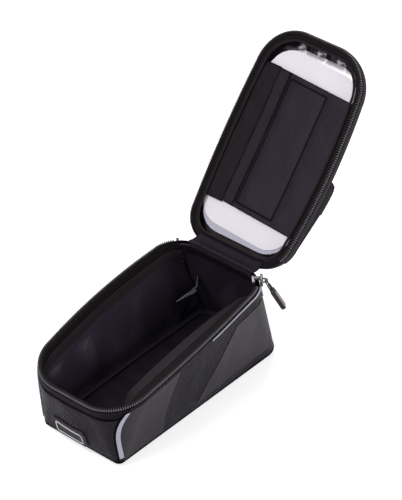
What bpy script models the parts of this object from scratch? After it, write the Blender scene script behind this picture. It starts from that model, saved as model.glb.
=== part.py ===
"""Frame bag: sewn box body, arched zip rim and a hinged lid with a phone window under a sun hood."""
import math

import bmesh
import bpy
import numpy as np

# Units and general fits, in millimetres
MM = 0.001
GAP = 0.3
OVERLAY = 0.4
SHARP_ANGLE = math.radians(38)
NUDGE = 0.001

# Base outline
BASE_LENGTH = 190.0
BASE_WIDTH_BADGE = 77.0
BASE_WIDTH_HINGE = 82.0
BASE_RADIUS_BADGE = 4.5
BASE_RADIUS_HINGE = 18.0

# Rim outline and height
RIM_OVERHANG_BADGE = 12.0
RIM_SETBACK_HINGE = 25.0
RIM_X_BADGE = -BASE_LENGTH / 2 - RIM_OVERHANG_BADGE
RIM_X_HINGE = BASE_LENGTH / 2 - RIM_SETBACK_HINGE
RIM_HALF_BADGE = 46.5
RIM_HALF_MIDDLE = 52.0
RIM_HALF_HINGE = 46.0
RIM_RADIUS_BADGE = 34.0
RIM_RADIUS_HINGE = 25.0
RIM_Z_BADGE = 52.0
RIM_Z_MIDDLE = 70.4
RIM_Z_HINGE = 82.0

# Layers of the body
PANEL_THICKNESS = 2.4
PANEL_BULGE = 1.6
LINING_THICKNESS = 0.6
LINING_GAP = 0.5
LINING_INNER = PANEL_THICKNESS + LINING_GAP + LINING_THICKNESS
LOOSE_TO = 0.8
BOARD_THICKNESS = 1.2
TAPE_THICKNESS = 0.6
TAPE_WIDTH = 7.0
BAND_WIDTH = 10.0
BAND_THICKNESS = 0.9
BAND_RAISED = 0.2
BAND_BACK = BAND_THICKNESS - BAND_RAISED
LEAN_MOST = 0.8
LEAN_PEAK = 0.7
LEAN_FRONT = 0.95
LEAN_REAR = 1.2
LEAN_SHIFT = 1.1
LEAN_FOOT = 0.35
LEAN_POWER = 1.6
HINGE_BAND_WIDTH = 10.0
FILM_THICKNESS = 0.35
TRIM_THICKNESS = 0.7
COLLAR_HEIGHT = 8.0
BINDING_RADIUS = 1.0
FLOOR_BINDING_INSET = 9.5
FLOOR_BINDING_WIDE = 1.9
TAG_U = 5.75
TAG_H = 0.56
TAG_OFF = 1.75
WRINKLE_DEPTH = 1.3

# Strap webbing below the base
WEBBING_THICKNESS = 1.2
WEBBING_LENGTH = 156.0
WEBBING_WIDTH = 30.0
WEBBING_SLOT = 46.0
LIFT = 2.0 * WEBBING_THICKNESS + GAP

# Zip
TOOTH_PITCH = 3.0
TOOTH_DEPTH = 0.55
CHAIN_WIDTH = 3.0
CHAIN_HEIGHT = 1.8
CHAIN_INSET = 0.35
CHAIN_STACK = 2.0 * CHAIN_HEIGHT + 3.0 * GAP
SLIDER_U = 7.52
STOP_U = 5.5
CHAIN_START_CLEARANCE = 5.6

# Lid
LID_OPEN_DEG = 139.0
LID_DEPTH = 12.4
LID_WALL = 1.8
LID_BORDER = 12.5
FILM_LEVEL = 9.9
LID_TAPE_INNER = 6.3
FLAP_LEVEL = 1.0
FLAP_THICKNESS = 0.5
CARD_LEVEL = 2.5
CARD_THICKNESS = 0.35
HINGE_OUT = 1.2
HINGE_HALF_WIDTH = 24.0
HINGE_STRIP_SPAN = 0.66
HINGE_STRIP_DROP = 14.0
HINGE_STRIP_TOP = 2.6
HINGE_STRIP_THICKNESS = 0.6
PIPING_RADIUS = 0.95
HINGE_STRIP_FOOT = PIPING_RADIUS + GAP - CHAIN_STACK + 0.1

# Flap and card, measured from the hinge end and from the centre line
FLAP_NEAR = 35.5
FLAP_FAR = 147.5
FLAP_SKEW = 3.5
FLAP_LEFT = 26.6
FLAP_RIGHT = -44.0
STITCH_LEFT = 15.0
STITCH_RIGHT = -20.5
MOUNT_STRIP_LEFT = 44.0
CARD_LENGTH = 147.0
CARD_WIDTH = 86.0
CARD_RADIUS = 21.0
CARD_TURN = math.radians(3.0)
CARD_MIDDLE = 89.3
CARD_SIDE = -1.5
CARD_BACK_MIDDLE = 85.0

# Hood
HOOD_START = 16.0
HOOD_MOUTH = 84.0
HOOD_HEIGHT = 14.5
HOOD_INSET = 3.6
HOOD_LIP = 3.5
HOOD_WALL = 1.8
HOOD_RAKE = 22.0
HOOD_CREST = 60.0
HOOD_SWELL = 1.2
HOOD_POWER = 4.5

# Badge
BADGE_Y = 6.7
BADGE_Z = 11.7
BADGE_LENGTH = 34.0
BADGE_HEIGHT = 16.5
BADGE_RADIUS = 4.0
BADGE_THICKNESS = 1.1
OUTLINE_LENGTH = 27.5
OUTLINE_HEIGHT = 11.0
OUTLINE_WIDTH = 1.2
OUTLINE_THICKNESS = 0.4

# Reflective trims
TRIM_WIDTH = 3.4
TRIM_PEAK_U = 1.51
TRIM_PEAK_H = 0.52
TRIM_CURVE = 0.99
TIP_END_U = 0.42
TIP_DROP = 1.6
TIP_WIDTH = 4.3
TIP_THIN = 0.9
TIP_TAIL = 0.18

# Pull
WIRE_RADIUS = 0.65
LINK_WIDTH = 5.0
LINK_LENGTH = 7.0
PIVOT_OUT = 4.5
PIVOT_UP = 2.1
TAB_WIDTH = 7.6
TAB_LENGTH = 24.0
TAB_THICKNESS = 3.0
TAB_EDGE = 0.4
FACE_THICKNESS = 0.5
PULL_LEAN_DEG = 29.0

# Colours
DARK_FABRIC = (0.020, 0.020, 0.022, 1.0)
DOT_FABRIC = (0.026, 0.026, 0.029, 1.0)
NYLON = (0.017, 0.017, 0.024, 1.0)
TAPE_BROWN = (0.050, 0.043, 0.042, 1.0)
BINDING_GREY = (0.060, 0.054, 0.052, 1.0)
COIL = (0.030, 0.030, 0.032, 1.0)
REFLECTIVE = (0.45, 0.48, 0.52, 1.0)
GLOSS_FILM = (0.052, 0.050, 0.048, 1.0)
RUBBER = (0.022, 0.022, 0.024, 1.0)
WHITE = (0.85, 0.85, 0.87, 1.0)
CARD_BACK = (0.62, 0.62, 0.67, 1.0)
METAL = (0.42, 0.42, 0.44, 1.0)
CLEAR = (0.80, 0.82, 0.86, 0.25)
BOARD = (0.12, 0.12, 0.12, 1.0)
WEBBING = (0.020, 0.020, 0.021, 1.0)


def three_point(t, first, middle, last):
    return first * (1 - t) * (1 - 2 * t) + 4 * middle * t * (1 - t) + last * t * (2 * t - 1)


def half_width(x):
    t = (x - RIM_X_BADGE) / (RIM_X_HINGE - RIM_X_BADGE)
    return three_point(t, RIM_HALF_BADGE, RIM_HALF_MIDDLE, RIM_HALF_HINGE)


def rim_height(x):
    t = (x - RIM_X_BADGE) / (RIM_X_HINGE - RIM_X_BADGE)
    return LIFT + three_point(t, RIM_Z_BADGE, RIM_Z_MIDDLE, RIM_Z_HINGE)


def base_half_width(x):
    t = x / BASE_LENGTH + 0.5
    return (BASE_WIDTH_BADGE * (1 - t) + BASE_WIDTH_HINGE * t) / 2


def rounded_outline(u, low, high, half, radius_low, radius_high):
    """Plan outline in eight spans: right side, corner, badge end, corner, left side, corner, hinge end, corner."""
    u = u % 8.0
    mirror = -1.0
    if 2.5 < u <= 6.5:
        mirror = 1.0
        u = (5.0 - u) % 8.0
    reach_low = half(low + radius_low) - radius_low
    reach_high = half(high - radius_high) - radius_high
    if u < 1:
        x = high - radius_high + (low + radius_low - high + radius_high) * u
        y = half(x)
    elif u < 2:
        turn = (u - 1) * math.pi / 2
        x = low + radius_low - radius_low * math.sin(turn)
        y = reach_low + radius_low * math.cos(turn)
    elif u < 3:
        x = low
        y = reach_low * (5 - 2 * u)
    elif u > 7:
        turn = (8 - u) * math.pi / 2
        x = high - radius_high + radius_high * math.sin(turn)
        y = reach_high + radius_high * math.cos(turn)
    else:
        x = high
        y = reach_high * (2 * u - 13)
    return np.array([x, mirror * y])


def base_xy(u):
    half = BASE_LENGTH / 2
    return rounded_outline(u, -half, half, base_half_width, BASE_RADIUS_BADGE, BASE_RADIUS_HINGE)


def rim_xy(u):
    return rounded_outline(u, RIM_X_BADGE, RIM_X_HINGE, half_width, RIM_RADIUS_BADGE, RIM_RADIUS_HINGE)


def bulge(u, h):
    """Padding fullness: greatest in the middle of a side or an end, none at the corners."""
    span = int(u % 8.0)
    if span % 2:
        return 0.0
    return PANEL_BULGE * math.sin(math.pi * (u % 1.0)) ** 2 * math.sin(math.pi * min(max(h, 0), 1))


def bare_wall(u, h):
    low = base_xy(u)
    high = rim_xy(u)
    plan = low * (1 - h) + high * h
    return np.array([plan[0], plan[1], LIFT + h * (rim_height(high[0]) - LIFT)])


def wall_normal(u, h):
    along = bare_wall(u + NUDGE, h) - bare_wall(u - NUDGE, h)
    up = bare_wall(u, h + NUDGE) - bare_wall(u, h - NUDGE)
    normal = np.cross(up, along)
    return normal / np.linalg.norm(normal)


def wall(u, h, out=0.0):
    """Point on the body wall, moved outward by out."""
    return bare_wall(u, h) + wall_normal(u, h) * (out + bulge(u, h))


def trimmed(point, foot=None):
    """Cut a wall point level with the rim, and with the base panel's seam where foot is given."""
    low = point[2] if foot is None else LIFT + foot
    return np.array([point[0], point[1], min(max(point[2], low), rim_height(point[0]))])


def wall_speed(u, h):
    return np.linalg.norm(bare_wall(u + NUDGE, h) - bare_wall(u - NUDGE, h)) / (2 * NUDGE)


def beside(u, h, distance):
    """Span parameter of the point that lies a distance along the wall from u."""
    for _ in range(3):
        middle = u + distance / wall_speed(u, h) / 2
        step = distance / wall_speed(middle, h)
    return u + step


def drop(u, distance):
    """Height parameter of the point that lies a distance below the rim."""
    return 1 - distance / np.linalg.norm(bare_wall(u, 1) - bare_wall(u, 0))


def rise(u, distance):
    """Height parameter of the point that lies a height above the base plane."""
    return distance / (rim_height(rim_xy(u)[0]) - LIFT)


LID_TILT = math.atan2(RIM_Z_HINGE - RIM_Z_BADGE, RIM_X_HINGE - RIM_X_BADGE)
LID_NORMAL = np.array([-math.sin(LID_TILT), 0.0, math.cos(LID_TILT)])
HINGE = np.array([RIM_X_HINGE + HINGE_OUT, 0.0, LIFT + RIM_Z_HINGE])
OPEN = math.radians(LID_OPEN_DEG)


def opened(point):
    """Turn a point of the closed lid to where the open lid holds it."""
    x = point[0] - HINGE[0]
    z = point[2] - HINGE[2]
    turned_x = HINGE[0] + x * math.cos(OPEN) + z * math.sin(OPEN)
    turned_z = HINGE[2] - x * math.sin(OPEN) + z * math.cos(OPEN)
    return np.array([turned_x, point[1], turned_z])


def outward(u):
    along = rim_xy(u + NUDGE) - rim_xy(u - NUDGE)
    along = along / np.linalg.norm(along)
    return np.array([along[1], -along[0]]) * -1.0


def on_rim(u, inset, up):
    """Point of the arched rim surface, moved in from the outline and up along the lid's normal."""
    plan = rim_xy(u) - outward(u) * inset
    return np.array([plan[0], plan[1], rim_height(plan[0])]) + LID_NORMAL * up


def on_lid(u, inset, level):
    return opened(on_rim(u, inset, CHAIN_STACK + level))


def in_lid(distance, y, level):
    """Point at a distance from the hinge end, measured along the lid."""
    x = RIM_X_HINGE - distance * math.cos(LID_TILT)
    point = np.array([x, y, rim_height(x)]) + LID_NORMAL * (CHAIN_STACK + level)
    return opened(point)


def spans(start, end, side=8, corner=6, finish=6):
    """Span parameters from start to end with more of them on the corners."""
    values = [start]
    counts = [side, corner, finish, corner, side, corner, finish, corner]
    for span in range(int(math.floor(start)), int(math.ceil(end))):
        for k in range(counts[span % 8]):
            u = span + k / counts[span % 8]
            if start + 0.04 < u < end - 0.04:
                values.append(u)
    values.append(end)
    return values


def make(name, vertices, faces, colour, roughness=0.8, metallic=0.0, origin=None):
    """Mesh object with outward faces, one material and its origin where it turns."""
    centre = np.zeros(3) if origin is None else np.asarray(origin)
    mesh = bpy.data.meshes.new(name)
    mesh.from_pydata(((np.asarray(vertices) - centre) * MM).tolist(), [], faces)
    work = bmesh.new()
    work.from_mesh(mesh)
    bmesh.ops.recalc_face_normals(work, faces=work.faces)
    work.to_mesh(mesh)
    work.free()
    mesh.polygons.foreach_set("use_smooth", [True] * len(mesh.polygons))
    mesh.set_sharp_from_angle(angle=SHARP_ANGLE)
    material = bpy.data.materials.new(name)
    material.use_nodes = True
    shader = material.node_tree.nodes["Principled BSDF"]
    shader.inputs["Base Color"].default_value = colour
    shader.inputs["Roughness"].default_value = roughness
    shader.inputs["Metallic"].default_value = metallic
    shader.inputs["Alpha"].default_value = colour[3]
    mesh.materials.append(material)
    body = bpy.data.objects.new(name, mesh)
    body.location = centre * MM
    bpy.context.scene.collection.objects.link(body)
    return body


def slab(name, outer, inner, colour, loop=False, **look):
    """Closed solid between two matching grids of points."""
    rows = len(outer)
    columns = len(outer[0])
    points = [p for row in outer for p in row] + [p for row in inner for p in row]
    second = rows * columns
    faces = []

    def corner(i, j, layer):
        return layer * second + (i % rows) * columns + j

    for i in range(rows if loop else rows - 1):
        for j in range(columns - 1):
            for layer in (0, 1):
                faces.append([corner(i, j, layer), corner(i + 1, j, layer), corner(i + 1, j + 1, layer),
                              corner(i, j + 1, layer)])
        for j in (0, columns - 1):
            faces.append([corner(i, j, 0), corner(i + 1, j, 0), corner(i + 1, j, 1), corner(i, j, 1)])
    if not loop:
        for i in (0, rows - 1):
            for j in range(columns - 1):
                faces.append([corner(i, j, 0), corner(i, j + 1, 0), corner(i, j + 1, 1), corner(i, j, 1)])
    return make(name, points, faces, colour, **look)


def sweep(name, sections, colour, loop=False, **look):
    """Closed solid through a row of matching cross-sections."""
    count = len(sections)
    size = len(sections[0])
    points = [p for section in sections for p in section]
    faces = []
    for i in range(count if loop else count - 1):
        for j in range(size):
            a = i * size
            b = (i + 1) % count * size
            faces.append([a + j, a + (j + 1) % size, b + (j + 1) % size, b + j])
    if not loop:
        faces.append(list(range(size)))
        faces.append(list(range((count - 1) * size, count * size)))
    return make(name, points, faces, colour, **look)


def tube_sections(path, radius, sides=6, tall=1.0, up=None):
    """Round cross-sections along a path, with one axis kept near up."""
    path = [np.asarray(p) for p in path]
    sections = []
    for i, centre in enumerate(path):
        ahead = path[min(i + 1, len(path) - 1)] - path[max(i - 1, 0)]
        ahead = ahead / np.linalg.norm(ahead)
        reference = np.array([0.0, 0.0, 1.0]) if up is None else np.asarray(up)
        side = np.cross(ahead, reference)
        side = side / np.linalg.norm(side)
        rise_axis = np.cross(side, ahead)
        ring = []
        for k in range(sides):
            angle = 2 * math.pi * k / sides
            ring.append(centre + radius * (side * math.cos(angle) + rise_axis * math.sin(angle) * tall))
        sections.append(ring)
    return sections


def partway(edge, shared, share):
    """Column between a cut edge that leans and the first column that all layers share."""
    return lambda h: edge(h) * (1 - share) + shared * share


def wall_patch(name, start, end, low, high, out, thickness, colour, rows=6, **look):
    """Piece cut to the wall's shape. start and end depend on the height, low and high on the span."""
    edges = [k / 8 for k in range(9)]
    first = max(start(h) for h in edges)
    last = min(end(h) for h in edges)
    shared = spans(first, last)[1:-1]
    foot = PANEL_THICKNESS + GAP
    outer = []
    inner = []
    near_start = [partway(start, shared[0], share) for share in (1 / 3, 2 / 3)]
    near_end = [partway(end, shared[-1], share) for share in (2 / 3, 1 / 3)]
    for place in [start] + near_start + shared + near_end + [end]:
        outer_row = []
        inner_row = []
        for k in range(rows):
            h = k / (rows - 1)
            for _ in range(3):
                u = place(h) if callable(place) else place
                h = low(u) + (high(u) - low(u)) * k / (rows - 1)
            outer_row.append(trimmed(wall(u, h, out), foot))
            inner_row.append(trimmed(wall(u, h, out - thickness), foot))
        outer.append(outer_row)
        inner.append(inner_row)
    return slab(name, outer, inner, colour, **look)


def remove_old():
    for old in list(bpy.data.objects):
        bpy.data.objects.remove(old, do_unlink=True)


def trim_centre(h):
    return TRIM_PEAK_U - TRIM_CURVE * (h - TRIM_PEAK_H) ** 2


def badge_seam(h, distance):
    """Right seam between the side and the badge end, moved by a distance toward the badge."""
    return beside(trim_centre(h), h, TRIM_WIDTH / 2 + 2 * GAP + distance)


def hinge_seam(h, distance):
    return beside(7.5, h, distance)


def panel_foot(u):
    return rise(u, PANEL_THICKNESS + GAP)


def at_level(u, level, inset):
    """Point inside the wall at an exact height above the base plane."""
    point = wall(u, rise(u, level), -inset)
    point[2] = LIFT + level
    return point


def build_base():
    stations = spans(0.0, 7.99, side=6, corner=5, finish=2)[:-1]
    floor = [np.append(base_xy(u), LIFT) for u in stations]
    top = [np.append(base_xy(u), LIFT + PANEL_THICKNESS) for u in stations]
    sweep("base_panel", [floor, top], DARK_FABRIC)
    rings = []
    for level in (PANEL_THICKNESS + GAP, PANEL_THICKNESS + GAP + BOARD_THICKNESS):
        rings.append([at_level(u, level, PANEL_THICKNESS + 2 * GAP) for u in stations])
    sweep("base_board", rings, BOARD)


def build_webbing():
    """One band folded double at its ends and middle, so that two straps pass above it."""
    half = WEBBING_LENGTH / 2
    pad = (WEBBING_LENGTH - 2 * WEBBING_SLOT) / 3
    top = 2 * WEBBING_THICKNESS
    thin = WEBBING_THICKNESS
    profile = [(-half, 0), (half, 0), (half, top), (half - pad, top), (half - pad, thin), (pad / 2, thin),
               (pad / 2, top), (-pad / 2, top), (-pad / 2, thin), (-half + pad, thin), (-half + pad, top),
               (-half, top)]
    sides = []
    for y in (-WEBBING_WIDTH / 2, WEBBING_WIDTH / 2):
        sides.append([np.array([x, y, z]) for x, z in profile])
    sweep("strap_webbing", sides, WEBBING)


def build_panels():
    wall_patch("side_panel_right", lambda h: hinge_seam(h, GAP / 2) - 8.0, lambda h: badge_seam(h, -GAP / 2),
               panel_foot, lambda u: 1.0, 0.0, PANEL_THICKNESS, DOT_FABRIC)
    wall_patch("side_panel_left", lambda h: 5.0 - badge_seam(h, -GAP / 2),
               lambda h: 13.0 - hinge_seam(h, GAP / 2), panel_foot, lambda u: 1.0, 0.0, PANEL_THICKNESS,
               DOT_FABRIC)
    wall_patch("badge_end_panel", lambda h: badge_seam(h, GAP / 2), lambda h: 5.0 - badge_seam(h, GAP / 2),
               panel_foot, lambda u: drop(u, COLLAR_HEIGHT + GAP), 0.0, PANEL_THICKNESS, DOT_FABRIC)
    wall_patch("collar_band", lambda h: badge_seam(h, GAP / 2), lambda h: 5.0 - badge_seam(h, GAP / 2),
               lambda u: drop(u, COLLAR_HEIGHT), lambda u: 1.0, -0.5, PANEL_THICKNESS - 0.5, DARK_FABRIC, rows=2)
    wall_patch("hinge_end_panel", lambda h: 13.0 - hinge_seam(h, -GAP / 2), lambda h: hinge_seam(h, -GAP / 2),
               panel_foot, lambda u: 1.0, 0.0, PANEL_THICKNESS, DARK_FABRIC)


def wrinkle(u, h):
    """Loose lining: slanting folds that fade toward the rim and the floor."""
    fade = math.sin(math.pi * min(max(h / LOOSE_TO, 0), 1)) ** 2
    slant = math.sin(2.6 * math.pi * u + 5.0 * h) * math.sin(1.3 * math.pi * u + 1.1)
    held = min(1.0, 4 * abs(u % 8.0 - 5.5), 4 * abs(u % 8.0 - 7.5))
    return WRINKLE_DEPTH * fade * held * slant ** 2


def lean(u):
    """Share by which the rim tape lies inward instead of down the wall: the near side flops in."""
    near = (u + 4.0) % 8.0 - 4.0 - LEAN_PEAK
    reach = LEAN_FRONT if near > 0 else LEAN_REAR
    return LEAN_MOST * math.cos(math.pi / 2 * min(abs(near) / reach, 1.0))


def rim_band(u, distance, depth):
    """Point on the tape inside the rim, at a distance from the rim and a depth below its face."""
    share = lean(u)
    inset = LINING_INNER + GAP + BAND_BACK
    top = trimmed(wall(u, 1.0, -inset))
    along = bare_wall(u - NUDGE, 1.0) - bare_wall(u + NUDGE, 1.0)
    down = wall(u, drop(u, TAPE_WIDTH), -inset) - top
    down = down / np.linalg.norm(down)
    face = np.cross(along, down)
    face = face / np.linalg.norm(face)
    hung = top + down * distance - face * depth
    sewn = trimmed(wall(u, drop(u, distance), depth - inset))
    side = outward(u)
    side = np.array([side[0], side[1], 0.0])
    way = down * (1 - share) - side * share
    way = way / np.linalg.norm(way)
    face = np.cross(along, way)
    face = face / np.linalg.norm(face)
    leant = top + side * share * LEAN_SHIFT + way * distance - face * depth
    return leant + (sewn - hung) * (1 - share)


def lining_point(u, h, layer, depth):
    """The lining follows the wall, then leaves it toward the band that leans inward on the near side."""
    inset = PANEL_THICKNESS + LINING_GAP + layer * LINING_THICKNESS
    width = TAPE_WIDTH + BAND_WIDTH
    turn = drop(u, width)
    away = max((h - LEAN_FOOT) / (turn - LEAN_FOOT), 0.0) ** LEAN_POWER
    offset = rim_band(u, width, depth) - wall(u, turn, -inset)
    return wall(u, h, -inset - wrinkle(u, h) * (1 - away)) + offset * away


def build_lining():
    stations = spans(0.0, 7.99)[:-1]
    outside = PANEL_THICKNESS + LINING_GAP
    floor_low = PANEL_THICKNESS + BOARD_THICKNESS + 2 * GAP
    points = []
    faces = []
    rows = 6
    width = TAPE_WIDTH + BAND_WIDTH
    for layer in (0, 1):
        depth = BAND_BACK + GAP + (1 - layer) * LINING_THICKNESS
        inset = outside + layer * LINING_THICKNESS
        level = floor_low + layer * LINING_THICKNESS
        points.append(np.array([0.0, 0.0, LIFT + level]))
        for u in stations:
            foot = at_level(u, level, inset)
            points.append(np.array([foot[0] * 0.5, foot[1] * 0.5, LIFT + level]))
            points.append(foot)
            low = rise(u, level)
            turn = drop(u, width)
            for k in range(1, rows - 2):
                points.append(lining_point(u, low + (turn - low) * k / (rows - 3), layer, depth))
            points.append(rim_band(u, TAPE_WIDTH + GAP / 2, depth))
            points.append(rim_band(u, 0.0, depth))
    column = rows + 1
    count = len(stations)
    layer_size = 1 + count * column
    for i in range(count):
        j = (i + 1) % count
        for layer in (0, 1):
            start = layer * layer_size
            a = start + 1 + i * column
            b = start + 1 + j * column
            faces.append([start, a, b])
            for k in range(column - 1):
                faces.append([a + k, a + k + 1, b + k + 1, b + k])
        a = 1 + i * column + column - 1
        b = 1 + j * column + column - 1
        faces.append([a, a + layer_size, b + layer_size, b])
    make("lining", points, faces, NYLON, roughness=0.45)


def build_inner_bands():
    start = 7.42 - 8.0
    stations = spans(start, 5.0 - start)
    for name, near, far, face, back, colour in (
            ("zip_tape_body", 0.0, TAPE_WIDTH, 0.0, TAPE_THICKNESS, TAPE_BROWN),
            ("rim_binding", TAPE_WIDTH + GAP, TAPE_WIDTH + BAND_WIDTH, -BAND_RAISED,
             BAND_BACK, BINDING_GREY)):
        outer = [[rim_band(u, distance, face) for distance in (far, near)] for u in stations]
        inner = [[rim_band(u, distance, back) for distance in (far, near)] for u in stations]
        slab(name, outer, inner, colour)
    wall_patch("hinge_lining_band", lambda h: 5.62, lambda h: 7.38, lambda u: drop(u, HINGE_BAND_WIDTH),
               lambda u: drop(u, 1.0), -LINING_INNER - GAP, TAPE_THICKNESS, NYLON, rows=2)


def build_floor_binding():
    level = PANEL_THICKNESS + BOARD_THICKNESS + LINING_THICKNESS + 3 * GAP + BINDING_RADIUS
    sections = []
    for u in spans(0.0, 7.99, side=6, corner=5, finish=2)[:-1]:
        centre = at_level(u, level, FLOOR_BINDING_INSET)
        side = wall_normal(u, 0.0)
        side[2] = 0.0
        side = side / np.linalg.norm(side)
        ring = []
        for k in range(5):
            angle = 2 * math.pi * k / 5
            lift = np.array([0.0, 0.0, math.sin(angle)])
            ring.append(centre + side * FLOOR_BINDING_WIDE * math.cos(angle) + lift * BINDING_RADIUS)
        sections.append(ring)
    sweep("floor_binding", sections, BINDING_GREY, loop=True)


def build_corner_bindings():
    inset = LINING_INNER + 2 * GAP + BINDING_RADIUS
    for name, middle in (("corner_binding_left", 5.5), ("corner_binding_right", 7.5)):
        top = drop(middle, TAPE_WIDTH + BAND_WIDTH + 2 * BINDING_RADIUS)
        path = []
        for k in range(9):
            h = 0.13 + (top - 0.13) * k / 8
            path.append(wall(middle, h, -inset))
        sweep(name, tube_sections(path, BINDING_RADIUS, tall=1.4, up=(1, 0, 0)), BINDING_GREY)


def build_tag():
    """Ribbon that leaves the corner binding, drops and folds forward along the left wall."""
    root = wall(TAG_U, TAG_H, -LINING_INNER - TAG_OFF)
    steps = [(0.0, 0.0, 0.0), (-1.0, -0.6, -5.0), (-2.6, -1.0, -8.2), (-7.0, -1.4, -9.6), (-16.0, -1.0, -9.2),
             (-25.0, 0.2, -9.8)]
    sections = []
    for k, step in enumerate(steps):
        centre = root + np.array(step)
        ahead = np.array(steps[min(k + 1, 5)]) - np.array(steps[max(k - 1, 0)])
        ahead = ahead / np.linalg.norm(ahead)
        across = np.array([0.0, 0.92, 0.4])
        across = across - ahead * across.dot(ahead)
        across = across / np.linalg.norm(across)
        thick = np.cross(ahead, across)
        ring = []
        for side, depth in ((-2.6, -0.3), (2.6, -0.3), (2.6, 0.3), (-2.6, 0.3)):
            ring.append(centre + across * side + thick * depth)
        sections.append(ring)
    sweep("inner_tag", sections, REFLECTIVE, roughness=0.5)


def build_gloss():
    """Smooth film fields: one behind the badge corner, one sweeping up to the hinge corner."""
    bottom = 0.07
    for side in ("right", "left"):
        def placed(u, side=side):
            return u if side == "right" else 5.0 - u

        def field_rear(h):
            return 0.735 - 0.03 * h + 0.05 * math.sin(math.pi * h)

        def field_front(h):
            return beside(trim_centre(h), h, -TRIM_WIDTH / 2 - GAP)

        def band_rear(h):
            return 0.56 - 0.50 * h + 0.08 * math.sin(math.pi * h)

        def band_front(h):
            return -0.36 + 0.34 * (1 - h) ** 2

        for name, first, last, low, high in (("gloss_field_", field_rear, field_front, bottom, 0.95),
                                             ("gloss_band_", band_front, band_rear, 0.14, 0.83)):
            outer = []
            inner = []
            for k in range(7):
                h = low + (high - low) * k / 6
                a = first(h)
                b = last(h)
                stations = [a + (b - a) * j / 6 for j in range(7)]
                outer.append([wall(placed(u), h, OVERLAY + FILM_THICKNESS) for u in stations])
                inner.append([wall(placed(u), h, OVERLAY) for u in stations])
            slab(name + side, outer, inner, GLOSS_FILM, roughness=0.35)


def build_trims():
    for side in ("right", "left"):
        def placed(u, side=side):
            return u if side == "right" else 5.0 - u

        outer = []
        inner = []
        for k in range(13):
            h = 0.12 + 0.80 * k / 12
            row = [beside(trim_centre(h), h, across * TRIM_WIDTH) for across in (-0.5, 0.0, 0.5)]
            outer.append([wall(placed(u), h, OVERLAY + TRIM_THICKNESS) for u in row])
            inner.append([wall(placed(u), h, OVERLAY) for u in row])
        slab("reflector_badge_" + side, outer, inner, REFLECTIVE, roughness=0.35)

        outer = []
        inner = []
        corner_u = 7.5 - 8.0
        turn = 9
        for k in range(turn + 7):
            if k <= turn:
                share = 1 - k / turn
                u = corner_u + (TIP_END_U - corner_u) * share ** 1.2
                width = TIP_THIN + (TIP_WIDTH - TIP_THIN) * (1 - share) ** 2
                edge_u = beside(u, 1, GAP)
                edge = (edge_u, drop(edge_u, TIP_DROP))
                inside_u = beside(u, 1, GAP + (width if k == turn else 0))
                inside = (inside_u, drop(inside_u, TIP_DROP + width))
            else:
                share = (k - turn) / 6
                top = drop(corner_u, TIP_DROP)
                h = top - TIP_TAIL * share
                width = TIP_WIDTH + (TIP_THIN - TIP_WIDTH) * share
                low = drop(corner_u, TIP_DROP + TIP_WIDTH) - top
                edge = (beside(corner_u, h, GAP), h)
                inside = (beside(corner_u, h, GAP + width), h + low * (1 - share))
            outer.append([wall(placed(edge[0]), edge[1], OVERLAY + TRIM_THICKNESS),
                          wall(placed(inside[0]), inside[1], OVERLAY + TRIM_THICKNESS)])
            inner.append([wall(placed(edge[0]), edge[1], OVERLAY), wall(placed(inside[0]), inside[1], OVERLAY)])
        slab("reflector_hinge_" + side, outer, inner, REFLECTIVE, roughness=0.35)


def on_badge_end(y, z, out):
    """Wall point of the badge end at a height above the base plane and a distance from the centre."""
    h = z / RIM_Z_BADGE
    low = abs(base_xy(2.0)[1])
    high = abs(rim_xy(2.0)[1])
    reach = low * (1 - h) + high * h
    return wall(2.0 + (y + reach) / (2 * reach), h, out)


def rounded_rectangle(length, height, radius, steps=4, split=1):
    """Outline counter-clockwise from the right. split puts more points on the long sides."""
    points = []
    for k in range(4):
        sx = (1, -1, -1, 1)[k]
        sy = (1, 1, -1, -1)[k]
        for j in range(steps + 1):
            angle = math.pi / 2 * (k + j / steps)
            points.append((sx * (length / 2 - radius) + radius * math.cos(angle),
                           sy * (height / 2 - radius) + radius * math.sin(angle)))
        for j in range(1, split if k % 2 == 0 else 1):
            points.append(((1 - k) * (length / 2 - radius) * (1 - 2 * j / split), points[-1][1]))
    return points


def decal(name, length, height, radius, out, thickness, colour, **look):
    """Rounded plate that lies on the badge end and follows its fullness."""
    ends = [radius * (1 - math.cos(math.pi / 2 * k / 4)) for k in range(5)]
    middle = [radius + (length - 2 * radius) * k / 5 for k in range(1, 5)]
    outer = []
    inner = []
    for along in ends + middle + [length - end for end in reversed(ends)]:
        edge = min(along, length - along, radius)
        half = height / 2 - radius + math.sqrt(radius ** 2 - (radius - edge) ** 2)
        y = BADGE_Y - length / 2 + along
        levels = [BADGE_Z + half * (k - 1) for k in range(3)]
        outer.append([on_badge_end(y, z, out + thickness) for z in levels])
        inner.append([on_badge_end(y, z, out) for z in levels])
    slab(name, outer, inner, colour, **look)


def build_badge():
    decal("badge_patch", BADGE_LENGTH, BADGE_HEIGHT, BADGE_RADIUS, OVERLAY, BADGE_THICKNESS, RUBBER, roughness=0.55)
    sections = []
    low = 2 * OVERLAY + BADGE_THICKNESS
    outside = rounded_rectangle(OUTLINE_LENGTH, OUTLINE_HEIGHT, 2.6, split=4)
    inside = rounded_rectangle(OUTLINE_LENGTH - 2 * OUTLINE_WIDTH, OUTLINE_HEIGHT - 2 * OUTLINE_WIDTH, 1.5, split=4)
    for (a, b), (c, d) in zip(outside, inside):
        sections.append([on_badge_end(BADGE_Y + a, BADGE_Z + b, low),
                         on_badge_end(BADGE_Y + c, BADGE_Z + d, low),
                         on_badge_end(BADGE_Y + c, BADGE_Z + d, low + OUTLINE_THICKNESS),
                         on_badge_end(BADGE_Y + a, BADGE_Z + b, low + OUTLINE_THICKNESS)])
    sweep("badge_outline", sections, WHITE, loop=True, roughness=0.5)


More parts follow.
